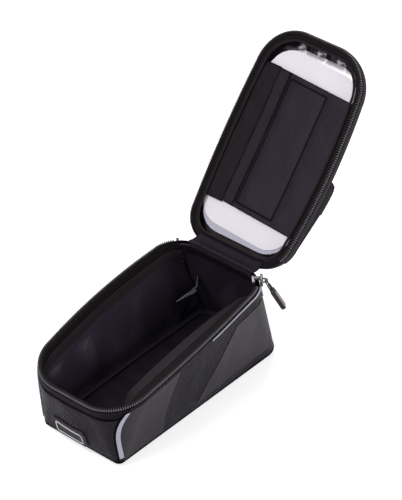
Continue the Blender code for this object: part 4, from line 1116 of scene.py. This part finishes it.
def stitches(name, body, look, path, normal, pitch=2.6, length=1.9, radius=0.16):
    """Row of single thread stitches along a path, each dipping into the cloth at its ends."""
    normal = np.broadcast_to(normal, path.shape)
    travelled = travel(path)
    count = max(int(travelled[-1] / pitch), 1)
    shares = np.linspace(-0.5, 0.5, 6)
    centres = (np.arange(count) + 0.5) * travelled[-1] / count
    along = centres[:, None] + shares[None, :] * length
    spots = np.stack([np.interp(along, travelled, path[:, a]) for a in range(3)], -1)
    normals = unit(np.stack([np.interp(along, travelled, normal[:, a]) for a in range(3)], -1))
    arch = (1 - (2 * shares) ** 2) * radius * 1.3 - STITCH_SINK - radius * 0.6
    spots = spots + normals * arch[None, :, None]
    side = np.cross(unit(np.gradient(spots, axis=1)), normals)
    angle = np.linspace(0, TURN, 6, endpoint=False)[:, None]
    size = radius * np.array([0.55, 0.95, 1, 1, 0.95, 0.55])[None, :, None, None]
    round_thread = side[:, :, None] * np.cos(angle) + normals[:, :, None] * np.sin(angle)
    rings = spots[:, :, None] + size * round_thread
    piece(name, body, look, rings, prisms(count, 6))


def inner_bands():
    start = HINGE_CORNER - 0.08 - SPANS
    u = np.linspace(start, MIRROR - start, 420)
    strip("zip_tape", "tape", rim_band, u, 0.0, TAPE_WIDTH, 0.0, TAPE, ["zip_tape_body"])
    strip("rim_band", "band", rim_band, u, TAPE_WIDTH + GAP, TAPE_WIDTH + BAND_WIDTH, -BAND_RAISED,
          BAND_BACK + BAND_RAISED, ["rim_binding"], crown=0.25)
    for name, distance in (("rim_band_stitches", 1.2), ("rim_band_stitches_low", 8.6)):
        distance += TAPE_WIDTH
        normal = unit(rim_band(u, distance, -1.0) - rim_band(u, distance))
        stitches(name, "bag", "thread", rim_band(u, distance, -0.35), normal)
    t = np.linspace(5.62, 7.38, 90)
    strip("hinge_band", "nylon_band",
          lambda u, d, k: wall(u, drop(u, 1.0 + d), -LINING_INNER - GAP - k), t, 0.0, 9.0, 0.0, TAPE,
          ["hinge_lining_band"], crown=0.3)
    level = PANEL + BOARD + LINING + 3 * GAP + BINDING_RADIUS
    u = np.linspace(0, SPANS, 361)[:-1]
    path = wall(u, rise(u, level), -FLOOR_BINDING_INSET)
    path[:, 2] = LIFT + level
    shape = [(1.0, -0.15), (0.9, 0.45), (0.55, 0.85), (0.2, 0.62), (0.0, 0.32), (-0.2, 0.62), (-0.55, 0.85),
             (-0.9, 0.45), (-1.0, -0.15), (-0.6, -0.9), (0.6, -0.9)]
    side = unit(wall_normal(u, 0.0) * (1, 1, 0))
    up = np.array([0, 0, BINDING_RADIUS])
    rings = np.stack([path + side * FLOOR_BINDING_WIDE * a + up * b for a, b in shape], 1)
    points, faces = ring_loft(rings)
    around = np.tile(np.arange(len(shape)) * 0.6, len(path))
    flat = np.stack([np.repeat(travel(path), len(shape)), around], -1)
    piece("floor_piping", "bag", "binding", points, faces, flat, ["floor_binding"])
    for name, middle in zip(("left", "right"), HINGE_CORNERS):
        high = float(drop(np.array(middle), TAPE_WIDTH + BAND_WIDTH + 2 * BINDING_RADIUS))
        h = np.linspace(0.13, high, 60)
        path = wall(middle, h, -(LINING_INNER + 2 * GAP + BINDING_RADIUS))
        tube("corner_piping_" + name, "bag", "binding", path, BINDING_RADIUS, ["corner_binding_" + name],
             (1, 0, 0), 3.0, tall=1.4)


def tooth_places():
    """Span parameters a tooth pitch apart along the rim, from the slider round to the end stop."""
    fine = np.linspace(CHAIN_START, STOP_U, 6000)
    travelled = travel(plan(RIM, fine))
    return np.interp(np.arange(0.5, int(travelled[-1] / TOOTH_PITCH)) * TOOTH_PITCH, travelled, fine)


def coil(name, place, low, way, nodes, body):
    """Moulded coil: one rounded tooth each pitch, its head bulging over the tape."""
    u = tooth_places()
    half = 0.31 * TOOTH_PITCH
    speed = np.linalg.norm(plan(RIM, u + NUDGE) - plan(RIM, u - NUDGE), axis=-1) / (2 * NUDGE)
    inset = np.array([0.0, 0.12, 0.55, 1.5, 2.45, 2.88, 3.0]) / 3.0 * CHAIN_WIDTH + CHAIN_INSET
    tall = np.array([0.25, 0.75, 1.0, 0.86, 1.0, 0.75, 0.25]) * CHAIN_HEIGHT
    wide = np.array([0.55, 0.85, 1.0, 0.8, 1.0, 0.85, 0.55])
    shape = ((-1.0, 0.0), (-0.82, 0.55), (-0.4, 0.92), (0.4, 0.92), (0.82, 0.55), (1.0, 0.0))
    points = np.stack([place(u + a * half * wide[i] / speed, inset[i], low + way * (0.08 + b * tall[i]))
                       for i in range(7) for a, b in shape], 1)
    # painted shade on the inner legs of each tooth, beside its head
    painted_leg_shade = np.repeat(np.clip((inset - CHAIN_INSET - 0.8) / 0.5, 0, 1), len(shape)) * 0.95
    seam = np.tile(painted_leg_shade, len(u))
    piece(name, body, "coil", points, prisms(len(u), 7), None, nodes, sharp=60, seam=seam)


def chains():
    coil("zip_coil", on_rim, GAP, 1.0, ["zip_chain_body"], "bag")
    coil("zip_coil_lid", on_lid, -GAP, -1.0, ["zip_chain_lid"], "lid")
    u = np.linspace(CHAIN_START, STOP_U, 500)
    stitches("collar_stitches", "bag", "thread", cover(u, drop(u, 2.2), -0.42), wall_normal(u, 0.97),
             pitch=2.4, length=1.7)


def smooth_path(controls, count):
    """Catmull-Rom curve through control points, given as an array of them along the second last axis."""
    controls = np.concatenate([2 * controls[..., :1, :] - controls[..., 1:2, :], controls,
                               2 * controls[..., -1:, :] - controls[..., -2:-1, :]], -2)
    spans = controls.shape[-2] - 3
    rows = []
    for t in np.linspace(0, spans - 1e-6, count):
        k = int(t)
        f = t - k
        a, b, c, d = (controls[..., k + j, :] for j in range(4))
        rows.append(0.5 * (2 * b + (c - a) * f + (2 * a - 5 * b + 4 * c - d) * f ** 2
                           + (3 * b - 3 * c + d - a) * f ** 3))
    return np.stack(rows, -2)


def webbing():
    """Ribbed band sewn under the base, folded double at its ends and middle."""
    half = WEBBING_LENGTH / 2
    pad = (WEBBING_LENGTH - 2 * WEBBING_SLOT) / 3
    thin = WEBBING_THICKNESS
    x = np.linspace(-half, half, 390)
    free = np.minimum(np.abs(x) - pad / 2, half - pad - np.abs(x))
    eased = np.clip(free / 0.8 + 0.5, 0, 1)
    top = 2 * thin - thin * eased ** 2 * (3 - 2 * eased)
    rib = 0.09 * np.cos(TURN * x / 2.4)
    ends = rounded(np.minimum(x + half, half - x), 0.5)
    y = WEBBING_WIDTH * (graded(24, WEBBING_WIDTH, 0.6) - 0.5)
    sides = rounded(WEBBING_WIDTH / 2 - np.abs(y), 0.5)
    edge = np.maximum(ends[:, None], sides[None, :])
    relief = 0.09 - rib[:, None] + edge
    high = np.stack(spread(x[:, None], y[None, :], top[:, None] - relief), -1)
    low = np.stack(spread(x[:, None], y[None, :], relief), -1)
    cloth_piece("ribbed_webbing", "bag", "webbing", high[:, ::-1], low[:, ::-1], ["strap_webbing"])


def slider_frame():
    """Place and directions of the slider: along the rim, outward and up."""
    u = np.array(SLIDER_U)
    origin = on_rim(u, 0.0, 0.0)
    ahead = on_rim(u + NUDGE, 0.0, 0.0) - on_rim(u - NUDGE, 0.0, 0.0)
    along = unit(ahead * (1, 1, 0))
    return origin, along, np.append(outward(u), 0.0), np.array([0.0, 0.0, 1.0])


def slider():
    """Cast slider: two plates with turned edges, a nose between them and a bail that holds the link."""
    origin, along, out, up = slider_frame()
    outer = rounded_profile([(2.8, -1.1), (2.8, 5.3), (0.5, 5.3), (0.5, 4.3), (1.7, 4.3), (1.7, -0.1),
                             (0.5, -0.1), (0.5, -1.1)], 0.45)
    inner = rounded_profile([(-5.9, 0.4), (-5.9, 3.7), (-3.4, 3.7), (-3.4, 3.0), (-4.8, 3.0), (-4.8, 1.2),
                             (-3.4, 1.2), (-3.4, 0.4)], 0.35)
    nose = rounded_profile([(-5.0, 1.2), (-5.0, 3.2), (2.0, 3.2), (2.0, 1.2)], 0.6)
    made = []
    blocks = ((outer, -5.0, 4.6, 1.6), (inner, -4.4, 4.2, 1.0), (nose, -4.2, -1.2, 1.0))
    for profile, near, far, edge in blocks:
        middle = (profile.max(0) + profile.min(0)) / 2
        rings = []
        for t in graded(6, far - near, edge):
            a = near + (far - near) * t
            short = max(1 - (a - near) / edge, 1 - (far - a) / edge, 0.0)
            size = 1 - 0.16 * short ** 2
            shape = middle + (profile - middle) * size
            rings.append(origin + along * a + out * shape[:, :1] + up * shape[:, 1:])
        made.append(ring_loft(rings, loop=False))
    pivot = origin + out * PIVOT_OUT + up * PIVOT_UP
    turn = np.linspace(0, math.pi, 16)[:, None]
    reach = WIRE_RADIUS + GAP + 0.75
    depth = PIVOT_OUT - 2.5
    bow = pivot + reach * (up * np.cos(turn) + out * np.sin(turn))
    path = np.concatenate([[pivot - out * depth + up * reach], bow, [pivot - out * depth - up * reach]])
    ahead = unit(np.gradient(path, axis=0))
    angle = np.linspace(0, TURN, 12, endpoint=False)[None, :, None]
    rings = path[:, None] + 0.62 * (along * np.cos(angle) + np.cross(ahead, along)[:, None] * np.sin(angle))
    made.append(ring_loft(rings, loop=False))
    faces = []
    start = 0
    for points, part in made:
        faces += [[start + index for index in face] for face in part]
        start += len(points)
    points = np.concatenate([points for points, _ in made])
    piece("slider_casting", "bag", "metal", points, faces, None, ["zip_slider"], sharp=40)


def hinge_tube():
    corners = np.array(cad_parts["hinge_piping"].bound_box) / MM
    reach = np.abs(corners[:, 1]).max()
    y = np.linspace(-reach, reach, 120)
    path = HINGE + np.stack([0 * y, y, 0 * y], -1)
    tube("hinge_cord", "bag", "plain", path, PIPING_RADIUS, ["hinge_piping"], (0, 0, 1), 2.4)


def hinge_cloth():
    """One strip of cloth from the body's hinge edge to the lid's, shaped for the open lid."""
    u = np.linspace(5.78, 7.22, 120)
    low = wall(u, drop(u, 5.0), -LINING_INNER - GAP - TAPE - 0.3)
    top = on_rim(u, 2.4, 0.5)
    edge = on_rim(u, 0.4, 0.7)
    near_lid = on_lid(u, 2.6, -0.35)
    far_lid = on_lid(u, LID_TAPE_INNER - 0.6, -0.2)
    middle = (edge + near_lid) / 2 - np.array([0, 0, 1.0])
    face = smooth_path(np.stack([low, top, edge, middle, near_lid, far_lid], -2), 40)
    face[..., 2] += 0.12 * folds(face[..., 1], lengths(face, 1) * 1.5, 6.1, 9.0)
    normal = 0.2 * unit(np.cross(np.gradient(face, axis=0), np.gradient(face, axis=1)))
    # painted shade along the strip's edges
    painted_shade = np.exp(-(edge_distance(face) / 0.8) ** 2) * 0.7
    one = cloth_piece("hinge_cloth", None, "nylon_band", face + normal, face - normal,
                      ["hinge_strip", "hinge_strip_lid"], cloth_map(face), painted_shade)
    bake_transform(one)


def tag():
    """Ribbon that leaves the corner, drops and folds forward along the left wall."""
    root = wall(TAG_U, TAG_H, -LINING_INNER - TAG_OFF)
    steps = np.array([(0.0, 0.0, 0.0), (-1.0, -0.6, -5.0), (-2.6, -1.0, -8.2), (-7.0, -1.4, -9.6),
                      (-16.0, -1.0, -9.2), (-25.0, 0.2, -9.8)])
    path = root + smooth_path(steps, 60)
    ahead = unit(np.gradient(path, axis=0))
    travelled = np.linspace(0, 1, 60)
    turned = np.clip((travelled - 0.3) / 0.2, 0, 1)[:, None] ** 2
    across = np.array([-0.76, -0.65, 0.0]) * (1 - turned) + np.array([0.0, 0.5, 0.87]) * turned
    across = unit(across - ahead * np.sum(ahead * across, -1, keepdims=True))
    thick = np.cross(ahead, across)
    half = TAG_HALF * (1 - np.clip((travelled - 0.45) / 0.6, 0, 1)) ** 0.8
    t = np.linspace(-1, 1, 9)
    curl = 0.35 * np.sin(math.pi * (t[None, :] + 1) / 2) * np.sin(5 * travelled)[:, None]
    rows = [path[:, None] + across[:, None] * (half[:, None] * t[None, :])[..., None]
            + thick[:, None] * (curl + side)[..., None] for side in (-0.2, 0.2)]
    cloth_piece("ribbon_tag", "bag", "tag", rows[0], rows[1], ["inner_tag"])


# Lid
def lid_ring(name, profile, look, nodes):
    """Ring of the lid with a cross-section of insets and levels."""
    u = np.linspace(0, SPANS, 401)[:-1]
    points, faces = ring_loft(np.stack([on_lid(u, inset, level) for inset, level in profile], 1))
    along = np.repeat(travel(on_lid(u, 0.0, 0.0)), len(profile))
    flat = np.stack([along, np.tile(travel(profile), len(u))], -1)
    return piece(name, "lid", look, points, faces, flat, nodes)


def rounded_profile(corners, radius):
    """Closed section with rounded corners."""
    corners = np.asarray(corners, float)
    points = []
    for before, corner, after in zip(np.roll(corners, 1, 0), corners, np.roll(corners, -1, 0)):
        cut = min(radius, np.linalg.norm(before - corner) * 0.45, np.linalg.norm(after - corner) * 0.45)
        a = corner + unit(before - corner) * cut
        b = corner + unit(after - corner) * cut
        for t in np.linspace(0, 1, 4):
            points.append(a * (1 - t) ** 2 + 2 * corner * t * (1 - t) + b * t ** 2)
    return np.array(points)


def lid_pieces():
    top = LID_DEPTH
    inner = LID_WALL
    corners = [(0.0, 0.0), (0.8, top * 0.5), (2.1, top - 2.4), (4.1, top - 0.6), (6.8, top),
               (LID_BORDER, top), (LID_BORDER, top - inner), (7.0, top - inner), (4.3, top - inner - 1.5),
               (inner + 0.9, top * 0.5), (inner, 0.0)]
    shell = lid_ring("lid_moulding", rounded_profile(corners, 1.6), "moulded", ["lid_shell"])
    tape = [(inner + GAP, 0.2), (LID_TAPE_INNER, 0.2), (LID_TAPE_INNER, 0.8), (inner + GAP, 0.8)]
    lid_ring("zip_tape_of_lid", rounded_profile(tape, 0.2), "tape", ["zip_tape_lid"])
    angle = np.linspace(0, TURN, 12, endpoint=False)
    ring = BINDING_RADIUS * np.stack([np.cos(angle), np.sin(angle)], -1)
    ring = ring + (LID_TAPE_INNER + GAP + BINDING_RADIUS, -0.3)
    lid_ring("lid_piping", ring, "binding", ["lid_binding"])
    bead = np.array([(-3.0, 0.0), (-2.4, 0.9), (-0.4, 0.9), (0.2, 0.0)]) + (LID_BORDER, top + GAP)
    lid_ring("window_welt", rounded_profile(bead, 0.5), "rubber", ["window_bead"])
    u = np.linspace(0, SPANS, 700)
    stitches("lid_tape_stitches", "lid", "thread", on_lid(u, 5.2, 0.2), -LID_UP, pitch=2.4, length=1.7)
    stitches("window_stitches", "lid", "thread", on_lid(u, LID_BORDER - 4.2, top), LID_UP)


def window():
    u = 8.5 + 1.5 * np.sin(np.linspace(-math.pi / 2, math.pi / 2, 120))
    edge = plan(RIM, u) - outward(u) * (LID_BORDER / 2 + 0.8)
    share = (u - 7.0) / 3.0
    t = np.linspace(-1, 1, 81)
    rows = []
    for lift in (FILM_LEVEL + 0.05, FILM_LEVEL + 0.30):
        x = edge[:, :1] + 0 * t
        y = edge[:, 1:] * -t
        sag = -0.3 * (1 - t ** 2) * np.sin(math.pi * share)[:, None]
        near_edge = np.exp(-((x - edge[:, :1].min() - 5.0) / 7.0) ** 2)
        wave = 1.1 * near_edge * np.sin(TURN * (y - 13.0) / 19.5 + 0.5 * np.sin(x / 4)) * (1 - t ** 4)
        level = CHAIN_STACK + lift + sag + wave
        rows.append(opened(np.stack([x, y, rim_height(x)], -1) + LID_NORMAL * level[..., None]))
    flat = np.stack([(RIM_X_HINGE - edge[:, :1] + 0 * t) / math.cos(LID_TILT), edge[:, 1:] * -t], -1)
    one = cloth_piece("clear_window", "lid", "clear", rows[1], rows[0], ["window_film"], flat)


def quilted(distance, y):
    """Level of the flap's face: fullness between its two stitch lines and small gathers beside them."""
    edges = np.array([FLAP_RIGHT, STITCH_RIGHT, STITCH_LEFT, FLAP_LEFT])
    away = np.min(np.abs(y[..., None] - edges), -1)
    full = 0.6 * (1 - np.exp(-(away / 4.0) ** 2))
    uneven = 0.55 + 0.45 * folds(distance, y * 0.3, 4.9, 21.0)
    pull = np.exp(-(away / 3.2) ** 2) * (1 - np.exp(-(away / 0.7) ** 2))
    gathers = 0.26 * uneven * pull * np.sin(TURN * distance / 2.7 + 0.9 * np.sin(distance / 5.0))
    ends = np.clip(np.minimum(distance - FLAP_NEAR, FLAP_FAR - distance) / 5.0, 0, 1)
    broad = 0.28 * folds(distance, y, 2.7, 34.0)
    return (0.35 - full + gathers + broad) * (0.3 + 0.7 * ends)


def in_flap(s, y, level):
    """Lid position, with the flap's ends slanting a little toward the hinge on the right."""
    slant = FLAP_SKEW * np.maximum(FLAP_LEFT - np.asarray(y, float), 0.0) / (FLAP_LEFT - FLAP_RIGHT)
    middle = np.clip(np.sin(math.pi * (s - FLAP_NEAR) / (FLAP_FAR - FLAP_NEAR)), 0, 1) ** 0.5
    tucked = FLAP_TUCK * middle * np.clip((FLAP_RIGHT + 7.0 - y) / 7.0, 0, 1)
    return in_lid(s - slant, y - tucked, level)


def flap_lines(s, y):
    """How near a place on the flap lies to its stitched rectangle, from 0 to 1: painted shade in the stitch
    grooves.
    """
    near_end = FLAP_NEAR + FLAP_SEAM
    far_end = FLAP_FAR - FLAP_SEAM
    beyond = np.maximum(np.maximum(near_end - s, s - far_end), 0)
    aside = np.maximum(np.maximum(STITCH_RIGHT - y, y - STITCH_LEFT), 0)
    along = np.minimum(np.abs(y - STITCH_RIGHT), np.abs(y - STITCH_LEFT)) + beyond
    across = np.minimum(np.abs(s - near_end), np.abs(s - far_end)) + aside
    return np.exp(-(np.minimum(along, across) / 0.75) ** 2)


def lid_cloth(name, look, nodes, ends, sides, level, thickness, shape, cells, edge=0.25, seams=None):
    """Cloth in the lid between two distances from the hinge and two places across."""
    s = ends[0] + (ends[1] - ends[0]) * graded(cells[0], ends[1] - ends[0], 0.6)[:, None]
    y = sides[0] + (sides[1] - sides[0]) * graded(cells[1], sides[1] - sides[0], 0.6)[None, :]
    s, y = spread(s, y)
    lift = level + shape(s, y)
    nearest = edge_distance(in_flap(s, y, lift))
    low = in_flap(s, y, lift + rounded(nearest, edge))
    high = in_flap(s, y, lift + thickness)
    # painted shade along the cloth's edges, and along the flap's stitch lines where seams is given
    painted_shade = np.exp(-(nearest / 0.7) ** 2) * 0.6
    if seams is not None:
        painted_shade = np.maximum(painted_shade, seams(s, y))
    return cloth_piece(name, "lid", look, high, low, nodes, np.stack([s, y], -1), painted_shade)


def flap():
    """Cloth flap over the card: quilted middle, side strip, edge band and the hook tape behind it."""
    ends = (FLAP_NEAR, FLAP_FAR)
    sides = (FLAP_RIGHT, FLAP_LEFT)
    one = lid_cloth("quilted_flap", "flap", ["phone_flap"], ends, sides, FLAP_LEVEL, FLAP_THICKNESS, quilted,
                    (190, 100), seams=flap_lines)
    ends = (FLAP_NEAR - 1, FLAP_FAR + 0.5)
    sides = (FLAP_LEFT + GAP, MOUNT_STRIP_LEFT)
    one = lid_cloth("flap_side_strip", "brown_cloth", ["flap_mount_strip"], ends, sides, FLAP_LEVEL,
                    FLAP_THICKNESS, lambda s, y: 0.25 * folds(s, y * 2, 3.3, 24.0), (110, 24))
    lid_cloth("flap_band", "band_nylon", ["flap_edge_band"], (FLAP_NEAR + 0.5, FLAP_FAR - 0.5),
              (STITCH_LEFT + 1.6, FLAP_LEFT - 0.2), FLAP_LEVEL - GAP - 0.65, 0.4,
              lambda s, y: 0.10 * folds(s, y, 5.3, 12.0) + 0.08 * np.sin(TURN * s / 3.1), (110, 18))
    lid_cloth("hook_tape_of_flap", "webbing", ["flap_hook_tape"], (FLAP_NEAR + 6.0, FLAP_FAR - 6.0),
              (STITCH_RIGHT + 2.4, STITCH_LEFT - 2.4), FLAP_LEVEL + FLAP_THICKNESS + GAP + 0.15, 0.3,
              lambda s, y: 0.0 * s, (60, 24), edge=0.15)
    near = FLAP_NEAR + FLAP_SEAM
    far = FLAP_FAR - FLAP_SEAM
    s = np.linspace(near, far, 200)
    y = np.linspace(STITCH_RIGHT, STITCH_LEFT, 90)
    rows = {"left": (s, STITCH_LEFT), "right": (s, STITCH_RIGHT), "near": (near, y), "far": (far, y)}
    for name, row in rows.items():
        along, across = spread(*row)
        path = in_flap(along, across, FLAP_LEVEL + quilted(along, across))
        # near-black thread paints the shade of the stitch grooves
        stitches("flap_stitches_" + name, "lid", "thread_with_groove_shade", path, -LID_UP, pitch=3.1, length=2.3,
                 radius=0.2)


def hood():
    """Hood that rises from the lid's face toward its mouth, with a bound edge."""
    angle = np.linspace(0, math.pi, 90)
    c = np.cos(angle)
    across = np.copysign(np.abs(c) ** (2 / HOOD_POWER), c)
    rounding = np.abs(np.sin(angle)) ** (2 / HOOD_POWER)
    grids = []
    for wall_in in (0.0, HOOD_WALL):
        rows = []
        for i in np.linspace(0, 1, 60):
            distance = HOOD_START + (HOOD_MOUTH - HOOD_START) * i
            x = RIM_X_HINGE - distance * math.cos(LID_TILT)
            turn = max(RIM_RADIUS_HINGE - distance, 0.0)
            reach = half_width(min(x, RIM_X_HINGE - RIM_RADIUS_HINGE))
            reach = reach - RIM_RADIUS_HINGE + math.sqrt(RIM_RADIUS_HINGE ** 2 - turn ** 2)
            share = min(max((distance - HOOD_START) / (HOOD_CREST - HOOD_START), 0.0), 1.0)
            up = (HOOD_LIP + (HOOD_HEIGHT - HOOD_LIP) * share ** HOOD_SWELL - wall_in) * rounding
            raked = HOOD_RAKE * (1 - np.sqrt(1 - np.minimum(up / HOOD_ROUND, 1.0) ** 2)) * i ** 3
            y = (HOOD_INSET + wall_in - reach) * across
            rows.append(in_lid(distance - raked, y, LID_DEPTH + GAP + up))
        grids.append(np.stack(rows))
    outer, inner = grids
    one = cloth_piece("sun_hood", "lid", "moulded", outer, inner, ["visor_hood"], sharp=50)
    edge = outer[-1] * 0.6 + inner[-1] * 0.4 + unit(outer[-1] - outer[-8]) * 0.2
    tube("hood_edge", "lid", "binding", edge[3:-3], 1.15, (), LID_UP, 2.6)


FINISHES = {
    "dotted": finish("dotted_cloth", DOTTED, 0.40, [dots(2.3, 0.20, 1.5), creased(55, 0.5)], specular=0.16),
    "plain": finish("plain_cloth", DARK, 0.5, [woven(0.62, 0.62, 0.05, 0.2), creased(60, 0.6)],
                    specular=0.14),
    "smooth": finish("smooth_print", SMOOTH_FILM, 0.36, [dots(2.1, 0.015, 0.08), creased(40, 0.6)], vary=0.14,
                     specular=0.42),
    "reflective": finish("reflective_film", REFLECTIVE, 0.4, [dots(0.7, 0.02, 0.10)], vary=0.08),
    "rubber": finish("soft_rubber", RUBBER, 0.45, [creased(300, 0.05)]),
    "pale_print": finish("pale_print", PALE_PRINT, 0.4, [creased(400, 0.02)], vary=0.05),
    "nylon": finish("lining_nylon", LINING_BLUE, 0.38,
                    [woven(0.5, 0.5, 0.02, 0.08), creased(70, 0.9, (1, 1, 0.5))], specular=0.4),
    "nylon_band": finish("lining_band", NYLON, 0.45, [woven(0.5, 0.5, 0.03, 0.15)], specular=0.16),
    "tape": finish("zip_tape_cloth", TAPE_DARK, 0.7, [woven(0.9, 0.6, 0.08, 0.3)], specular=0.14),
    "band": finish("rim_band_cloth", TAPE_BROWN, 0.62, [woven(0.8, 1.6, 0.08, 0.25)], specular=0.14),
    "binding": finish("binding_cloth", BINDING_GREY, 0.7, [woven(0.8, 0.8, 0.06, 0.3)], specular=0.16),
    "thread": finish("thread", THREAD, 0.55),
    "thread_with_groove_shade": finish("thread_painted_groove_shade", THREAD_WITH_GROOVE_SHADE, 0.7, specular=0.2),
    "coil": finish("coil_nylon", COIL, 0.35, specular=0.7),
    "moulded": finish("moulded_cloth", DARK, 0.48, [woven(0.6, 0.6, 0.04, 0.2), creased(50, 0.5)],
                      specular=0.18),
    "clear": clear_finish(),
    "flap": finish("flap_nylon", NYLON, 0.45, [woven(0.45, 0.45, 0.02, 0.12), creased(110, 0.35)],
                   specular=0.2),
    "brown_cloth": finish("brown_cloth", BROWN_CLOTH, 0.5, [woven(0.5, 0.5, 0.03, 0.15), creased(90, 0.5)],
                          specular=0.2),
    "band_nylon": finish("band_nylon", BAND_CLOTH, 0.45, [woven(0.9, 0.5, 0.04, 0.25)], specular=0.22),
    "card": finish("card", CARD, 0.45, [creased(500, 0.02)], vary=0.03),
    # second card: white card with painted shade
    "card_back_painted_shade": finish("card_back_painted_shade", CARD_BACK_IN_PAINTED_SHADE, 0.5, [creased(500, 0.02)], vary=0.03),
    "metal": finish("cast_metal", METAL, 0.34, [creased(700, 0.03)], metallic=1.0, vary=0.1),
    "face": finish("pull_face_metal", PULL_FACE, 0.36, [creased(600, 0.03)], metallic=0.9),
    "webbing": finish("strap_webbing", DARK, 0.65, [woven(1.4, 2.4, 0.2, 0.4)], specular=0.3),
    "tag": finish("tag_ribbon", RIBBON, 0.5, [woven(0.5, 0.5, 0.03, 0.15)]),
    "board": finish("stiffener", STIFFENER, 0.6),
}

KEPT = {"base_board": "board", "sleeve_insert": "card", "sleeve_insert_back": "card_back_painted_shade",
        "zip_end_stop": "rubber", "pull_link": "metal", "pull_tab": "rubber", "pull_face": "face"}


def kept():
    for node, name in KEPT.items():
        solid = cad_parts[node]
        solid.data.materials.clear()
        solid.data.materials.append(FINISHES[name])
        layer = solid.data.uv_layers.new(name="cloth")
        spots = np.array([solid.data.vertices[loop.vertex_index].co for loop in solid.data.loops]) / MM
        flat = np.stack([spots[:, 0] + spots[:, 2], spots[:, 1]], -1)
        layer.uv.foreach_set("vector", flat.astype(np.float32).ravel())


camera()
lamps()
room()
floor()
panels()
base()
films()
trims()
badge()
lining()
inner_bands()
chains()
lid_pieces()
window()
flap()
hood()
tag()
slider()
hinge_tube()
hinge_cloth()
webbing()
kept()
